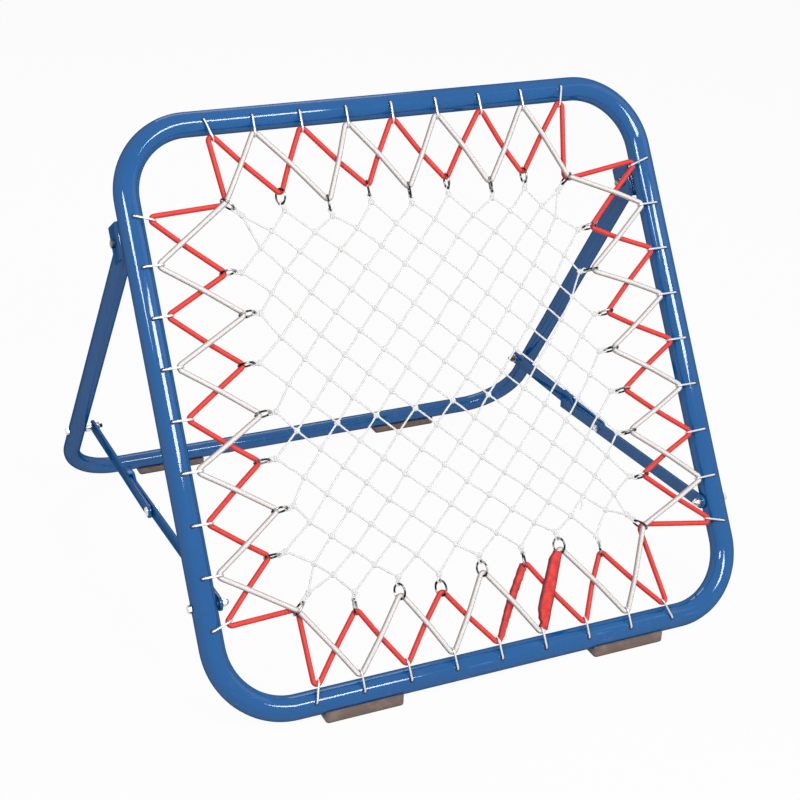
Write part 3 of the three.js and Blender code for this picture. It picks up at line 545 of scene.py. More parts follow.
fasten(add_hex_bolt(front_tail, head_seat, 0.006), "front_pivot", "bolt", zinc_steel)
fasten(add_washer(*outer_washer), "front_pivot", "outer_washer", dark_steel)
fasten(add_washer(*inner_washer), "front_pivot", "inner_washer", dark_steel)

dome = add_hexagon(*dome_ends, dome_ends)
bpy.ops.mesh.primitive_uv_sphere_add(segments=32, ring_count=20, radius=1, location=(dome_middle, 0, 0))
carve(dome, settled(dome_size), "UNION")
drill(dome, 0.4430, 0.4520, loose_hole)
fasten(dome, "front_pivot", "domed_nut", zinc_steel)

knee_head = add_round(*knee_head_ends, 0.0085, 48)
bevel_ends(knee_head_ends[1:], 0.0026, 7)
carve(knee_head, add_shank(knee_tail, 0.4658, 0.010), "UNION")
fasten(knee_head, "knee", "bolt", zinc_steel)
fasten(add_washer(*outer_washer), "knee", "washer", dark_steel)
fasten(add_nut(*knee_nut), "knee", "nut", zinc_steel)

fasten(add_hex_bolt(outside_bars, rear_head_seat, 0.004), "rear_pivot", "bolt", zinc_steel)
spacer = drill(add_round(*spacer_ends, washer_radius), *spacer_ends, loose_hole)
round_edges(spacer, 0.0005)
fasten(spacer, "rear_pivot", "spacer", zinc_steel)
fasten(add_shank(*bolt_end_ends, 0.012), "rear_pivot", "bolt_end", dark_steel)
fasten(add_washer(*outer_washer), "rear_pivot", "washer", zinc_steel)
fasten(add_nut(*outer_nut), "rear_pivot", "nut", dark_steel)


# Folding stays: two flat steel bars a side, 25 by 5 mm, with round ends on the pivots. The front bar runs on
# past the knee, and a tab bent from its end lies over the rear bar and stops the frame from opening further.
bar_width = 0.025
bar_gauge = 0.005
front_reach = 0.352231
front_turn = radians(60.321933)
front_inner = 0.4519
rear_reach = 0.355059
rear_turn = radians(57.729429)
rear_inner = 0.459
front_bar_end = front_reach + 0.145
tab_start = front_bar_end - 0.033
tab_under = 0.0194
tab_top = 0.0234
tab_fold = 0.0071


def bar_place(pivot, slope, inner):
    """From a bar laid along X with its upper edge to +Y, to its place on the right side."""
    along = Vector((0, cos(slope), sin(slope)))
    upper = Vector((0, -sin(slope), cos(slope)))
    turn = Matrix((along, upper, (1, 0, 0))).transposed().to_4x4()
    return Matrix.Translation(pivot_places[pivot] + Vector((inner, 0, 0))) @ turn


def cut_bar(end, rounded_to):
    """A flat bar from a round end about 0 to the given end. It is left in edit mode."""
    length = end + bar_width / 2
    bar = add_block((length, bar_width, bar_gauge), (end - length / 2, 0, bar_gauge / 2))
    start_edit()
    pick("edges", lambda edge: runs_along(edge, 2) and middle(edge).x < rounded_to)
    bevel(bar_width / 2 - 0.00002, 14)
    return bar


def fit_bar(bar, name, pivot, turn, inner):
    """Sets a bar on its pivot, turned from the frame."""
    round_edges(bar, 0.0007)
    smooth(bar, 30)
    bar.data.transform(bar_place(pivot, lean - turn, inner))
    fit_both(bar, name, blue_paint)


rear_bar = cut_bar(rear_reach + bar_width / 2, rear_reach + bar_width)
end_edit()
fit_bar(rear_bar, "stay_rear_bar", "knee", rear_turn, rear_inner)

front_bar = cut_bar(front_bar_end, 0)
tab_rise = tab_top - bar_width / 2
for cut in (tab_start - tab_rise, tab_start):
    pick_all()
    bpy.ops.mesh.bisect(plane_co=(cut, 0, 0), plane_no=(1, 0, 0))
pick("faces", lambda face: face.normal.y > 0.9 and middle(face).x > tab_start - tab_rise)
extrude((0, tab_rise, 0))
pick("verts", lambda vert: vert.co.y > bar_width / 2 + 0.001 and vert.co.x < tab_start - 0.001)
bpy.ops.transform.translate(value=(tab_rise, 0, 0))
pick_all()
bpy.ops.mesh.remove_doubles(threshold=0.00001)
pick_all()
bpy.ops.mesh.bisect(plane_co=(0, tab_under, 0), plane_no=(0, 1, 0))
pick("faces", lambda face: face.normal.z > 0.9 and middle(face).y > tab_under and middle(face).x > tab_start)
extrude((0, 0, tab_fold))
end_edit()
turn_faces_out(front_bar)
fit_bar(front_bar, "stay_front_bar", "front_pivot", front_turn, front_inner)


# Feet: four moulded rubber blocks, brown-grey, pushed up under the bars with a hollow that seats the tube.
# The corners are rounded as they leave the mould. They are scuffed and dusty, and a painted shadow darkens them
# along the sole.
foot_length = 0.138
under_tube = 0.011
front_foot = {"bar_y": -0.449214, "radius": tube_radius, "depth": 0.044, "height": 0.022}
rear_foot = {"bar_y": 0.456214, "radius": leg_radius, "depth": 0.030, "height": 0.014}


def shade_rubber():
    rubber = Finish("brown_rubber")
    height = rubber.height()
    grain = rubber.noise(700.0)
    cloud = rubber.noise(38.0, 5.0)
    drag = rubber.noise(60.0, 3.0, rubber.place((1.0, 6.0, 6.0)))
    dust = cloud.ramp(0.50, 0.70) * 0.45
    base = rubber.mix(drag, (92, 76, 70), (126, 106, 97))
    base = rubber.mix(dust, base, (146, 134, 124))
    # Painted shadow: the lowest few millimetres are darkened towards the ground.
    base = rubber.mix((1 - height.ramp(0.0020, 0.0050)) * 0.8, base, (46, 36, 33))
    return rubber.surface(base, cloud * 0.15 + 0.62, rubber.bump(grain + drag * 0.8, 0.0002, 0.6))


brown_rubber = shade_rubber()


def add_foot(name, out, bar_y, radius, depth, height):
    foot = add_block((foot_length, depth, height), (out, bar_y, height / 2))
    start_edit()
    pick("edges", lambda edge: runs_along(edge, 2))
    bevel(0.006, 5)
    pick("edges", lambda edge: all(vert.co.z < 0.0001 for vert in edge.verts))
    bevel(0.004, 4)
    end_edit()
    hollow = radius + 0.0003
    seat = add_round(out - foot_length, out + foot_length, hollow, 64)
    seat.data.transform(Matrix.Translation((0, bar_y, hollow + under_tube)))
    carve(foot, seat, "DIFFERENCE")
    round_edges(foot, 0.0009, 40)
    smooth(foot)
    fit(foot, name, brown_rubber, name)


add_foot("front_left_foot", -0.249, **front_foot)
add_foot("front_right_foot", 0.249, **front_foot)
add_foot("rear_left_foot", -0.280, **rear_foot)
add_foot("rear_right_foot", 0.245, **rear_foot)


# Hooks: 36 bent from 4 mm zinc plated wire, nine a side. One leg stands in a hole in the tube's front, and the
# other end curls down round the cord. A dark ring at the edge of each hole is painted shade, for the hole and
# the shadow in it.
hook_pitch = 0.0836
wire_radius = 0.002
leg_level = 0.010
shank_level = 0.0248
curl_out = 0.4519
curl_level = 0.0167
curl_radius = 0.0072
curl_start = radians(97)
curl_sweep = radians(172)
leg_curve = 0.0034
hole_radius = 0.0031
chip_radius = 0.0010
cord_in = 0.029
end_hook_lean = 0.009
cord_nodes = ("red_cord_with_hooks_and_rings", "white_cord_with_hooks_and_rings")


def end_lean(number):
    """How far a side's first and last hooks lean towards its middle."""
    return {1: end_hook_lean, 9: -end_hook_lean}.get(number, 0.0)


forwards = Vector((0, 0, 1))


def on_side(quarter, along, out, level=0.0):
    """A place on a side of the square, clockwise from the top: along it, out from the middle, forwards."""
    across, up = ((along, out), (out, -along), (-along, -out), (-out, along))[quarter]
    return Vector((across, up, level))


def side_turn(quarter):
    return Matrix.Rotation(-quarter * pi / 2, 4, "Z")


bpy.ops.mesh.primitive_plane_add(size=0.001)
start_edit()
bpy.ops.mesh.select_mode(type="VERT")
pick_all()
bpy.ops.mesh.merge(type="CENTER")
bpy.ops.transform.translate(value=(0, half_square, leg_level))
extrude((0, 0, shank_level - leg_level))
start_out = curl_out - curl_radius * cos(curl_start)
start_level = curl_level + curl_radius * sin(curl_start)
to_curl = (0, start_out - half_square, start_level - shank_level)
extrude(to_curl)
bpy.ops.mesh.spin(steps=13, angle=curl_sweep, center=(0, curl_out, curl_level), axis=(-1, 0, 0))
pick("verts", lambda vert: (vert.co - Vector((0, half_square, shank_level))).length < 0.0001)
bevel(leg_curve, 5, "VERTICES")
pick_all()
bpy.ops.mesh.remove_doubles(threshold=0.000005)
end_edit()
bpy.ops.object.convert(target="CURVE")
bpy.context.object.data.use_fill_caps = True
hook = draw_out_tube(wire_radius, 3)
smooth(hook, 50)

bpy.ops.mesh.primitive_torus_add(major_segments=16, minor_segments=6, major_radius=hole_radius,
                                 minor_radius=chip_radius, location=(0, half_square, tube_radius))
hole_edge = settled()
smooth(hole_edge, 80)

# A dark ring round each hole: painted shade that stands for the hole and the shadow in it.
hole_shade = Finish("painted_hole_shade")
hole_shade_spots = hole_shade.noise(900.0)
hole_shade_colour = hole_shade.mix(hole_shade_spots, (22, 30, 44), (52, 60, 72))
painted_hole_shade = hole_shade.surface(hole_shade_colour, hole_shade_spots * 0.2 + 0.6, hole_shade.bump(hole_shade_spots, 0.0002, 0.8))

hook_turns = random.Random(4)
for quarter in range(4):
    for number in range(1, 10):
        along = (number - 5) * hook_pitch
        shear = Matrix.Identity(4)
        shear[0][1] = -end_lean(number) / cord_in
        about_leg = Matrix.Translation((0, half_square, 0))
        turn = Matrix.Rotation(radians(hook_turns.uniform(-1.5, 1.5)), 4, "Z")
        place = lean_back @ side_turn(quarter) @ Matrix.Translation((along, 0, 0))
        node = cord_nodes[(number + 1) % 2]
        bent = copy_of(hook, place @ about_leg @ shear @ turn @ about_leg.inverted())
        fit(bent, f"hook_{quarter + 1}_{number}", zinc_steel, node)
        edge = copy_of(hole_edge, place)
        fit(edge, f"hook_hole_{quarter + 1}_{number}", painted_hole_shade, node, slot="dark_steel")
bpy.data.objects.remove(hook)
bpy.data.objects.remove(hole_edge)


# Rings: 28 steel rings at the sides and 4 in the corners, of 3.5 mm galvanised wire, each with the
# lump of its weld. Their dark and light patches are painted reflections. They hang between the elastic cords
# and the net, turned a little about their pull.
ring_radius = 0.013
ring_wire = 0.00175
ring_pitch = 0.0765
ring_line = 0.333
ring_stagger = 0.0055
corner_ring_line = 0.324
net_level = 0.0125
ring_turn_shares = [
    [0.5, -0.65, -0.7, -0.6, -0.25, -0.6, -0.15],
    [-0.3, 0, -0.35, -0.35, -0.4, -0.3, -0.45],
    [0.85, -0.6, 1, -0.5, -0.6, -0.6, 0.95],
    [0.35, 0.5, 0.3, 0.5, 0.2, 0.4, 0.25],
]
ring_turn_most = radians(32)
ring_shift_most = 0.020
ring_along_shares = [
    [0.2, 0.5, 0.45, 0.35, 0.15, 0.45, 0],
    [0.25, 0.25, 0.4, -0.1, -0.2, -0.3, -0.1],
    [0.05, 0.1, -0.2, 0, 0.2, 0.05, 0.3],
    [-0.4, -0.7, -0.45, -0.5, -0.15, 0.1, -0.15],
]
ring_out_shares = [
    [0.15, -0.3, 0, 0, -0.15, -0.35, -0.4],
    [0, -0.2, -0.15, 0.15, -0.05, 0.2, 0],
    [-0.05, -0.55, -0.5, 0, 0.3, 0.4, 0.3],
    [1, 0.15, 0.3, 0, 0.05, -0.3, 0.1],
]
corner_along_shares = [0.25, 0.4, 0.4, -0.2]
corner_out_shares = [0.7, -0.6, -0.65, 0.35]

bpy.ops.mesh.primitive_torus_add(major_segments=40, minor_segments=10,
                                 major_radius=ring_radius, minor_radius=ring_wire)
start_edit()
for degrees, growth in ((36, 1.22), (45, 1.34), (54, 1.2)):
    angle = radians(degrees)
    pick("verts", lambda vert: abs(atan2(vert.co.y, vert.co.x) - angle) < 0.02)
    spot = (ring_radius * cos(angle), ring_radius * sin(angle), 0)
    bpy.ops.transform.resize(value=(growth, growth, growth), center_override=spot)
end_edit()
ring = bpy.context.object
smooth(ring, 60)


def ring_spot(quarter, number, beyond=0.0, level=0.0):
    """The middle of a side ring, where the strung net draws it, or a place so far beyond it."""
    along = (number - 4) * ring_pitch + ring_along_shares[quarter][number - 1] * ring_shift_most
    stagger = ring_stagger if number % 2 else -ring_stagger
    out = ring_line + stagger + ring_out_shares[quarter][number - 1] * ring_shift_most
    return on_side(quarter, along, out + beyond, level)


def corner_spot(quarter, beyond=0.0, level=0.0):
    """The middle of a corner ring, or a place so far beyond it on the corner's diagonal."""
    along = corner_along_shares[quarter] * ring_shift_most - corner_ring_line
    out = corner_out_shares[quarter] * ring_shift_most + corner_ring_line
    return on_side(quarter, along - beyond * sqrt(0.5), out + beyond * sqrt(0.5), level)


def ring_place(centre, outward, turn):
    """From a ring laid flat to one that holds the outward way and, when it isn't turned, the way forwards."""
    across = Matrix.Rotation(turn, 3, outward) @ forwards
    axis = outward.cross(across)
    return Matrix.Translation(centre) @ Matrix((outward, across, axis)).transposed().to_4x4()


weld_turns = random.Random(9)
for quarter in range(4):
    for number in range(1, 8):
        turn = ring_turn_shares[quarter][number - 1] * ring_turn_most
        place = ring_place(ring_spot(quarter, number, 0, net_level), on_side(quarter, 0, 1), turn)
        spun = Matrix.Rotation(weld_turns.uniform(1.2, 5.0), 4, "Z")
        hung = copy_of(ring, lean_back @ place @ spun)
        node = cord_nodes[(number + 1) % 2]
        fit(hung, f"ring_{quarter + 1}_{number}", ring_steel, node, slot="dark_steel")
    corner = ("top_left", "top_right", "bottom_right", "bottom_left")[quarter] + "_corner_ring"
    place = ring_place(corner_spot(quarter, 0, net_level), on_side(quarter, -1, 1).normalized(), 0)
    hung = copy_of(ring, lean_back @ place @ Matrix.Rotation(1.3 + quarter, 4, "Z"))
    fit(hung, corner, ring_steel, corner, slot="dark_steel")
bpy.data.objects.remove(ring)


# Elastic cords: two closed loops of 9 mm rubber cord in a braided jacket, one red and one white, stretched to
# and fro between every other hook and the rings. The white one lies over the red one wherever they cross.
cord_radius = 0.0045
cord_line = 0.451
hook_bearing = 0.0063
ring_bearing = 0.0061
corner_bearing = 0.00875
crossing_lift = 0.0051
cord_gap = 0.0048


def bend_at(centre, radius, turn, level):
    return {"centre": centre, "radius": radius, "turn": turn, "level": level}


def hook_bend(quarter, number):
    along = (number - 5) * hook_pitch + end_lean(number)
    return bend_at(on_side(quarter, along, cord_line - hook_bearing), hook_bearing, 1, curl_level)


def ring_bend(quarter, number):
    return bend_at(ring_spot(quarter, number, ring_radius), ring_bearing, -1, net_level)


def corner_bend_at(quarter, lift):
    return bend_at(corner_spot(quarter, ring_radius), corner_bearing, -1, net_level + lift * cord_gap)


def cord_bends(first_hook, lift):
    bends = []
    for quarter in range(4):
        bends.append(corner_bend_at(quarter, lift))
        for number in range(first_hook, 10, 2):
            bends.append(hook_bend(quarter, number))
            if number + 2 <= 9:
                bends.append(ring_bend(quarter, number))
    return bends


def straight_run(one, two):
    """The straight stretch of cord between two bends, which touches both."""
    line = two["centre"] - one["centre"]
    ahead = line.normalized()
    right = Vector((ahead.y, -ahead.x, 0))
    sine = (two["turn"] * two["radius"] - one["turn"] * one["radius"]) / line.length
    side = right * sqrt(1 - sine ** 2) + ahead * sine
    start = one["centre"] - side * one["turn"] * one["radius"]
    end = two["centre"] - side * two["turn"] * two["radius"]
    return Vector((start.x, start.y, one["level"])), Vector((end.x, end.y, two["level"]))


def crossing(run, other):
    """How far along each of two runs they cross, as shares, or nothing."""
    ahead = run[1] - run[0]
    across = other[1] - other[0]
    apart = other[0] - run[0]
    area = ahead.x * across.y - ahead.y * across.x
    if abs(area) < 1e-9:
        return None
    share = (apart.x * across.y - apart.y * across.x) / area
    other_share = (apart.x * ahead.y - apart.y * ahead.x) / area
    return (share, other_share) if 0 < share < 1 and 0 < other_share < 1 else None


def run_points(run, others, lift):
    """Points every 5 mm along a run, lifted where it passes over or under the other cord."""
    corners = [(0.0, run[0].z)]
    for other in others:
        met = crossing(run, other)
        if met:
            mine = run[0].z + (run[1].z - run[0].z) * met[0]
            theirs = other[0].z + (other[1].z - other[0].z) * met[1]
            corners.append((met[0], (mine + theirs) / 2 + lift * crossing_lift))
    corners = sorted([*corners, (1.0, run[1].z)])
    count = max(4, round((run[1] - run[0]).length / 0.005))
    points = []
    for step in range(count + 1):
        share = step / count
        low, high = next((a, b) for a, b in zip(corners, corners[1:]) if share <= b[0] + 1e-9)
        rise = (share - low[0]) / (high[0] - low[0])
        point = run[0].lerp(run[1], share)
        point.z = low[1] + (high[1] - low[1]) * rise
        points.append(point)
    return points


def cord_path(bends, runs, others, lift):
    """The cord's centre line all the way round, and the number of the run that each point is on."""
    points = []
    owners = []
    for index, bend in enumerate(bends):
        arrive = runs[index - 1][1] - bend["centre"]
        leave = runs[index][0] - bend["centre"]
        start = atan2(arrive.y, arrive.x)
        sweep = (atan2(leave.y, leave.x) - start) * -bend["turn"] % tau
        steps = max(4, ceil(sweep / 0.24))
        for step in range(1, steps):
            angle = start - bend["turn"] * sweep * step / steps
            offset = Vector((cos(angle), sin(angle), 0)) * bend["radius"]
            point = bend["centre"] + offset
            points.append(Vector((point.x, point.y, bend["level"])))
            owners.append(None)
        new_points = run_points(runs[index], others, lift)
        points.extend(new_points)
        owners.extend([index] * len(new_points))
    smoothed = []
    count = len(points)
    for index, point in enumerate(points):
        near = [points[(index + step) % count] for step in range(-6, 7)]
        near = [other for other in near if (other - point).length < 0.013]
        smoothed.append(Vector((point.x, point.y, sum(other.z for other in near) / len(near))))
    return smoothed, owners


class SoftMesh:
    """Gathers cords and twine as tubes with a map: length in metres one way, and once round the other."""

    def __init__(self):
        self.verts = []
        self.faces = []
        self.map = []

    def tube(self, points, radius, sides, closed=False, facing=forwards, shape=None):
        """shape(share, angle, length) gives the offset from the line, to the side and to the front."""
        count = len(points)
        first = len(self.verts)
        spans = count if closed else count - 1
        lengths = [0.0]
        for index in range(spans):
            lengths.append(lengths[-1] + (points[(index + 1) % count] - points[index]).length)
        for index, point in enumerate(points):
            before = points[index - 1] if closed or index else point
            after = points[(index + 1) % count] if closed or index < count - 1 else point
            ahead = (after - before).normalized()
            side = ahead.cross(facing).normalized()
            front = side.cross(ahead)
            for step in range(sides):
                angle = tau * step / sides
                to_side, to_front = radius * cos(angle), radius * sin(angle)
                if shape:
                    to_side, to_front = shape(lengths[index] / lengths[-1], angle, lengths[index])
                self.verts.append(point + side * to_side + front * to_front)
        for index in range(spans):
            here = first + index * sides
            there = first + (index + 1) % count * sides
            for step in range(sides):
                after = (step + 1) % sides
                self.faces.append((here + step, here + after, there + after, there + step))
                low, high = lengths[index], lengths[index + 1]
                self.map.append([(low, step / sides), (low, (step + 1) / sides),
                                 (high, (step + 1) / sides), (high, step / sides)])
        if not closed:
            last = first + (count - 1) * sides
            self.faces.append(tuple(range(first + sides - 1, first - 1, -1)))
            self.faces.append(tuple(range(last, last + sides)))
            self.map.extend([[(lengths[0], 0.0)] * sides, [(lengths[-1], 0.0)] * sides])

    def fit(self, name, finish, node):
        mesh = bpy.data.meshes.new(name)
        mesh.from_pydata(self.verts, [], self.faces)
        layer = mesh.uv_layers.new(name="length_and_round")
        for face, spots in zip(mesh.polygons, self.map):
            for loop, spot in zip(face.loop_indices, spots):
                layer.data[loop].uv = spot
        made = bpy.data.objects.new(name, mesh)
        bpy.context.scene.collection.objects.link(made)
        turn_faces_out(made)
        smooth(made, 70)
        made.data.transform(lean_back)
        fit(made, name, finish, node)


def shade_elastic(name, light, dark, fleck, side):
    elastic = Finish(name)
    braid = elastic.winding(230.0, 5.0) * elastic.winding(230.0, -5.0)
    cloud = elastic.noise(45.0)
    fuzz = elastic.noise(1400.0, 2.0)
    # The braid's pattern is darker in the gaps between its strands, which is painted shade.
    tint = (braid * 0.18 + 0.5) * 0.6 + cloud * 0.4
    # Painted shade: the cord's sides are darkened towards the side colour, and only its front and back keep the
    # lit colour.
    lit_cord_front = elastic.turned_forwards().ramp(0.25, 0.95)
    base = elastic.mix(tint.ramp(0.15, 0.75), dark, light)
    base = elastic.mix((1 - lit_cord_front) * 0.8, base, side)
    base = elastic.mix(fuzz.ramp(0.60, 0.74) * 0.08, base, fleck)
    relief = elastic.bump(braid * 0.6 + fuzz * 0.05, 0.00006, 0.25)
    sheen = {"Sheen Weight": 0.15, "Sheen Roughness": 0.4}
    return elastic.surface(base, 0.62 - braid * 0.06, relief, sheen)


# The last colour given to each elastic is the painted shade on its sides.
red_elastic = shade_elastic("red_elastic", (240, 64, 50), (206, 40, 34), (242, 96, 80), (184, 26, 30))
white_elastic = shade_elastic(
    "white_elastic", (238, 233, 230), (216, 209, 207), (228, 216, 213), (138, 128, 125)
)

red_bends, white_bends = cord_bends(1, -1), cord_bends(2, 1)
red_runs, white_runs = ([straight_run(one, two) for one, two in zip(bends, bends[1:] + bends[:1])]
                        for bends in (red_bends, white_bends))
red_path, red_owners = cord_path(red_bends, red_runs, white_runs, -1)
white_path, white_owners = cord_path(white_bends, white_runs, red_runs, 1)
for name, path, finish, node in (("red_cord", red_path, red_elastic, cord_nodes[0]),
                                 ("white_cord", white_path, white_elastic, cord_nodes[1])):
    cord = SoftMesh()
    cord.tube(path, cord_radius, 14, closed=True)
    cord.fit(name, finish, node)


# Sleeves: where each cord's ends are joined they are bound over with red cloth tape. The one on the red cord
# is wound tight in a spiral. The one on the white cord is a loose flap, puffed out to one side and tied in at
# the hook.
sleeve_rise = 0.0053
wound_half = 0.0069
lap_pitch = 0.017


def shade_tape():
    tape = Finish("red_tape")
    spot = tape.along_piece()
    weave = ((spot.part(0) * 1500.0).sine() + (spot.part(1) * 190.0).sine()) * 0.25 + 0.5
    creases = tape.noise(90.0, 6.0)
    cloud = tape.noise(30.0, 2.0)
    # Painted shade: the tape's sides are darkened to deep red, and only its front and back keep the lit colour.
    lit_tape_front = tape.turned_forwards().ramp(0.20, 0.75)
    # The colour follows the creases' relief and is darker in their hollows, which is painted shade.
    base = tape.mix(creases.ramp(0.38, 0.60), (186, 28, 30), (230, 56, 46))
    base = tape.mix(cloud.ramp(0.50, 0.75) * 0.35, base, (236, 88, 68))
    base = tape.mix((1 - lit_tape_front) * 0.95, base, (104, 8, 18))
    relief = tape.bump(creases * 1.4 + weave * 0.12, 0.0010, 0.75)
    return tape.surface(base, creases * 0.25 + 0.55, relief, {"Sheen Weight": 0.1})


red_tape = shade_tape()


def sleeve_line(path, owners, bends, hook_number, start_past, end_past):
    """The stretch of a cord that arrives at a hook of the bottom side, and a little past either end."""
    centre = hook_bend(2, hook_number)["centre"]
    run = next(index for index, bend in enumerate(bends) if (bend["centre"] - centre).length < 1e-4) - 1
    line = [point for point, owner in zip(path, owners) if owner == run]
    way = (line[-1] - line[0]).normalized()
    line = [line[0] - way * start_past, *line, line[-1] + way * end_past]
    return [one.lerp(two, step / 2) for one, two in zip(line, line[1:]) for step in range(2)]


def profile(share, table):
    """The value at a share of the length, between the rows of a table."""
    for (low, first), (high, second) in zip(table, table[1:]):
        if share <= high:
            rise = (share - low) / (high - low)
            rise = rise * rise * (3 - 2 * rise)
            return first + (second - first) * rise
    return table[-1][1]


def wound_shape(share, angle, length):
    lap = (length / lap_pitch + angle / tau) % 1.0
    rough = 0.03 * sin(3 * angle + 210 * length) * sin(530 * length + 2)
    grow = 0.97 + 0.15 * lap + rough
    end = profile(share, ((0, 0.96), (0.03, 1.02), (0.55, 1.0), (0.92, 0.84), (1, 0.72)))
    rise = sleeve_rise * (0.97 + 0.05 * lap) * max(end, 0.86)
    return wound_half * grow * end * cos(angle), rise * sin(angle)


def flap_shape(share, angle, length):
    loose_side = profile(share, ((0, 0.0080), (0.13, 0.0140), (0.35, 0.0160), (0.48, 0.0184), (0.74, 0.0188),
                                 (0.87, 0.0140), (0.93, 0.0084), (0.97, 0.0100), (1, 0.0080)))
    cord_side = profile(share, ((0, 0.0090), (0.13, 0.0076), (0.46, 0.0062), (1, 0.0060)))
    pucker = profile(share, ((0, 0.01), (0.7, 0.02), (0.88, 0.08), (1, 0.10)))
    folds = 1 + pucker * sin(9 * angle + 60 * length) + 0.02 * sin(4 * angle - 190 * length)
    width = (loose_side + cord_side) / 2
    flat = copysign(abs(sin(angle)) ** 0.6, sin(angle))
    rise = sleeve_rise * profile(share, ((0, 0.94), (0.5, 1.0), (1, 0.94)))
    return (loose_side - cord_side) / 2 + width * folds * cos(angle), rise * (0.97 + 0.03 * folds) * flat


wound = SoftMesh()
wound.tube(sleeve_line(red_path, red_owners, red_bends, 5, 0.003, 0.001), 0, 28, shape=wound_shape)
wound.fit("wound_sleeve", red_tape, "red_cord_sleeve")
flap = SoftMesh()
flap.tube(sleeve_line(white_path, white_owners, white_bends, 4, 0.001, 0.004), 0, 32, shape=flap_shape)
flap.fit("loose_sleeve", red_tape, "white_cord_sleeve")


# Net: white twisted twine, 3.4 mm thick, knotted into diamonds with a 49 mm side. Its outermost knots each hold
# a loop of twine round a ring, and two cut tails are left where the twine was tied off.
net_pitch = 0.0348
net_units = 18
net_middle = 9
twine_radius = 0.0017
tip_pitch = 0.0755
tip_reach = 0.0235
corner_reach = 0.030


def shade_twine():
    twine = Finish("white_twine")
    lay = twine.winding(290.0, 3.0)
    fuzz = twine.noise(1800.0)
    cloud = twine.noise(14.0)
    # The colour is a little darker in the grooves of the lay, which the bump lowers: painted shade.
    tint = (lay * 0.5 + 0.5) * 0.2 + fuzz * 0.15 + 0.3
    base = twine.mix(tint, (218, 217, 216), (238, 237, 236))
    base = twine.mix(cloud.ramp(0.45, 0.75) * 0.25, base, (214, 211, 208))
    return twine.surface(base, 0.85 - lay * 0.05, twine.bump(lay * 0.6 + fuzz * 0.05, 0.00004, 0.12))


white_twine = shade_twine()
net_wobble = random.Random(21)
net = SoftMesh()
knot_places = {}


def wobble(most):
    across, up, level = (net_wobble.uniform(-most, most) for way in range(3))
    return Vector((across, up, level / 2))


def tip_key(quarter, number):
    near = 2 * number + 1
    far = net_units - near
    return ((near, 0), (net_units, near), (far, net_units), (0, far))[quarter]


for row in range(1, net_units):
    for column in range(1, net_units):
        if (row + column) % 2:
            knot_places[column, row] = Vector(
                ((column - net_middle) * net_pitch, (net_middle - row) * net_pitch, net_level))
inner_keys = list(knot_places)
for quarter in range(4):
    for number in range(1, 8):
        slack = (4 - number) * (ring_pitch - tip_pitch)
        drawn = ring_spot(quarter, number, -tip_reach, net_level) + on_side(quarter, slack, 0)
        knot_places[tip_key(quarter, number)] = drawn
corner_pairs = [((2, 1), (1, 2)), ((17, 2), (16, 1)), ((16, 17), (17, 16)), ((1, 16), (2, 17))]
corner_knots = [corner_spot(quarter, -corner_reach, net_level) for quarter in range(4)]


def tied_to(column, row):
    """The places of the knots that a knot is tied to."""
    near = [knot_places.get((column + right, row + down)) for right in (-1, 1) for down in (-1, 1)]
    near += [knot for knot, pair in zip(corner_knots, corner_pairs) if (column, row) in pair]
    return [place for place in near if place]


strung_slack = Vector((0.00017, -0.00010, 0))
for settling in range(60):  # enough for the knots to come to rest
    for key in inner_keys:
        near = tied_to(*key)
        knot_places[key] = sum(near, Vector()) / len(near) + strung_slack
for key in knot_places:
    knot_places[key] = knot_places[key] + wobble(0.0008)


def left_of(way):
    return Vector((-way.y, way.x, 0))


def add_knot(place, way, size=1.25):
    """A bight of twine that lies flat, with a turn drawn tight over its neck."""
    way = way.normalized()
    side = left_of(way)
    for axis, middle_at, first, second in (
        (forwards, place + way * 0.0002, way * 0.0031, side * 0.0023),
        (way, place - way * 0.0011 + forwards * 0.0002, side * 0.0027, forwards * 0.0017),
    ):
        turns = []
        for step in range(8):
            angle = tau * step / 8
            turns.append(middle_at + (first * cos(angle) + second * sin(angle)) * size)
        net.tube(turns, twine_radius * size, 6, closed=True, facing=axis)


def add_strand(one, two, bow):
    """A strand that swells and thins a little along its way, as twine does."""
    side = left_of((two - one).normalized())
    phase = net_wobble.uniform(0, 6.2)
    points = []
    for step in range(9):
        share = step / 8
        sag = 4 * share * (1 - share)
        points.append(one.lerp(two, share) + side * bow.x * sag + forwards * (bow.y * sag))

    def thickness(share, angle, length):
        swell = twine_radius * (1 + 0.10 * sin(17 * share + phase) + 0.05 * sin(39 * share - phase))
        return swell * cos(angle), swell * sin(angle)

    net.tube(points, twine_radius, 6, shape=thickness)


def add_loop(knot, wire, outward):
    """The loop of a tip: out from the knot, round the ring's wire and back."""
    side = left_of(outward)
    reach = ring_wire + twine_radius * 0.95
    points = [knot - side * 0.0010, knot.lerp(wire, 0.5) - side * 0.0021]
    for step in range(7):
        angle = pi * step / 6
        points.append(wire - side * reach * cos(angle) + outward * reach * sin(angle))
    points += [knot.lerp(wire, 0.5) + side * 0.0021, knot + side * 0.0010]
    net.tube(points, twine_radius * 0.92, 6)
    add_knot(knot.lerp(wire, 0.28), outward, 1.0)


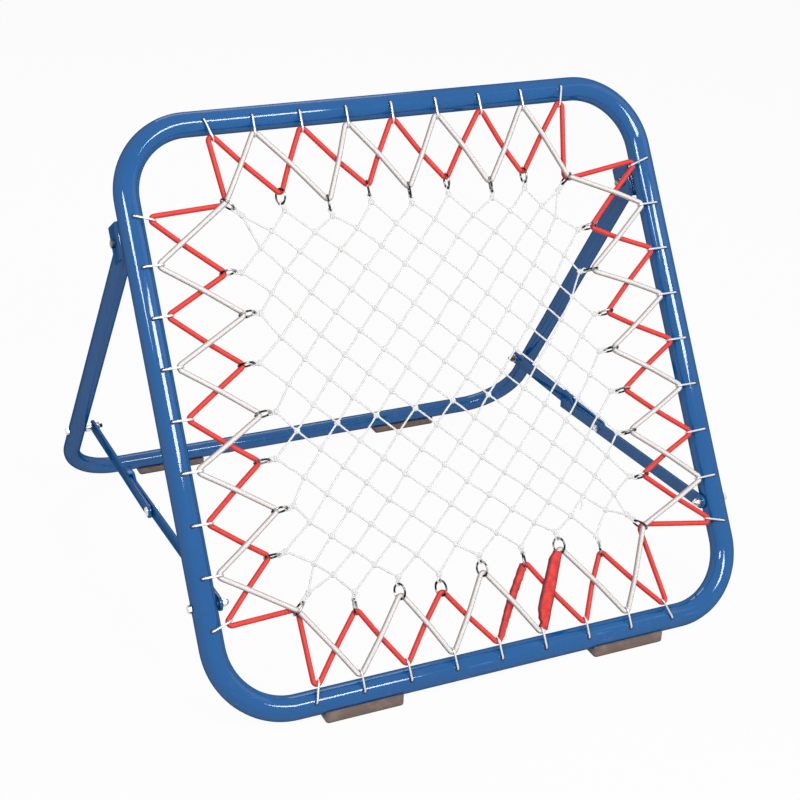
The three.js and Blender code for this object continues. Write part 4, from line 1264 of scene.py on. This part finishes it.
for (column, row), place in knot_places.items():
    add_knot(place, Vector((1, (-1) ** row * 0.35, 0)))
    for right, down in ((1, -1), (1, 1)):
        other = knot_places.get((column + right, row + down))
        if other:
            lift = forwards * (0.0004 * down)
            add_strand(place + lift, other + lift, wobble(0.0009))
for quarter in range(4):
    for number in range(1, 8):
        wire = ring_spot(quarter, number, -ring_radius, net_level)
        add_loop(knot_places[tip_key(quarter, number)], wire, on_side(quarter, 0, 1))
    corner = corner_knots[quarter]
    outward = on_side(quarter, -1, 1).normalized()
    add_knot(corner, outward)
    add_loop(corner, corner_spot(quarter, -ring_radius, net_level), outward)
    for key in corner_pairs[quarter]:
        add_strand(corner, knot_places[key], wobble(0.0009))
first_tail = knot_places[1, 2] - corner_knots[0]
for start, way, length in ((corner_knots[0], first_tail + Vector((-0.002, -0.002, 0.004)), 0.034),
                           (knot_places[15, 16], Vector((-0.42, -0.9, 0.12)), 0.025)):
    tail = []
    for step in range(8):
        curl = Vector((0.0011 * sin(1.7 * step), 0, 0.0006 * cos(2.3 * step)))
        tail.append(start + way.normalized() * length * step / 7 + curl)
    net.tube(tail, twine_radius * 0.85, 6)
net.fit("knotted_net", white_twine, "net")


# Studio: a white floor under plain soft light. The floor and the room show white to the camera and in
# reflections, and the floor keeps the object's shadow.
def seen_outright(finish):
    """1 for what the camera sees straight or in a reflection, and 0 for what only lights the object."""
    rays = finish.add("LightPath")
    return rays.part("Is Camera Ray") + rays.part("Is Glossy Ray") + rays.part("Is Transmission Ray")


def shade_floor():
    floor = Finish("studio_floor")
    grain = floor.noise(3.0, 2.0)
    plain = floor.add("BsdfPrincipled", {
        "Base Color": floor.mix(grain, (216, 216, 216), (220, 220, 220)),
        "Roughness": 0.9,
        "Specular IOR Level": 0.0,
    })
    white = floor.add("Emission", {"Color": (1, 1, 1, 1), "Strength": 1.0})
    both = floor.add("MixShader", {0: seen_outright(floor) * 0.95, 1: plain, 2: white})
    floor.add("OutputMaterial", {"Surface": both})
    return floor.made


bpy.ops.mesh.primitive_plane_add(size=40)
floor = bpy.context.object
floor.name = "floor"
floor.data.materials.append(shade_floor())

room = Finish("room", "worlds")
glow = room.add("Background", {"Color": (0.98, 0.99, 1.0, 1), "Strength": 0.26})
show = room.add("Background", {"Color": (1, 1, 1, 1), "Strength": 1.0})
walls = room.add("MixShader", {0: seen_outright(room), 1: glow, 2: show})
room.add("OutputWorld", {"Surface": walls})
bpy.context.scene.world = room.made


def hang_light(name, place, wide, high, watts):
    bpy.ops.object.light_add(type="AREA", location=place)
    lamp = bpy.context.object
    lamp.name = name
    lamp.data.shape = "RECTANGLE"
    lamp.data.size = wide
    lamp.data.size_y = high
    lamp.data.energy = watts
    lamp.rotation_euler = (Vector((0, -0.1, 0.4)) - Vector(place)).to_track_quat("-Z", "Y").to_euler()


hang_light("key_light", (0.4, -2.9, 2.7), 1.7, 0.65, 84)
hang_light("side_light", (-2.6, -1.8, 2.7), 1.0, 0.6, 44)
hang_light("fill_light", (2.8, -1.2, 2.6), 2.4, 2.0, 8)
hang_light("back_light", (0.6, 2.8, 3.0), 2.0, 1.6, 30)

bpy.ops.object.camera_add(location=(-1.194478, -2.503785, 1.648656))
camera = bpy.context.object
camera.rotation_euler = [radians(angle) for angle in (64.250710, -2.045510, -24.845267)]
camera.data.sensor_width = 36
camera.data.lens = 76.02
camera.data.clip_end = 100
bpy.context.scene.camera = camera
bpy.context.scene.view_settings.view_transform = "Standard"
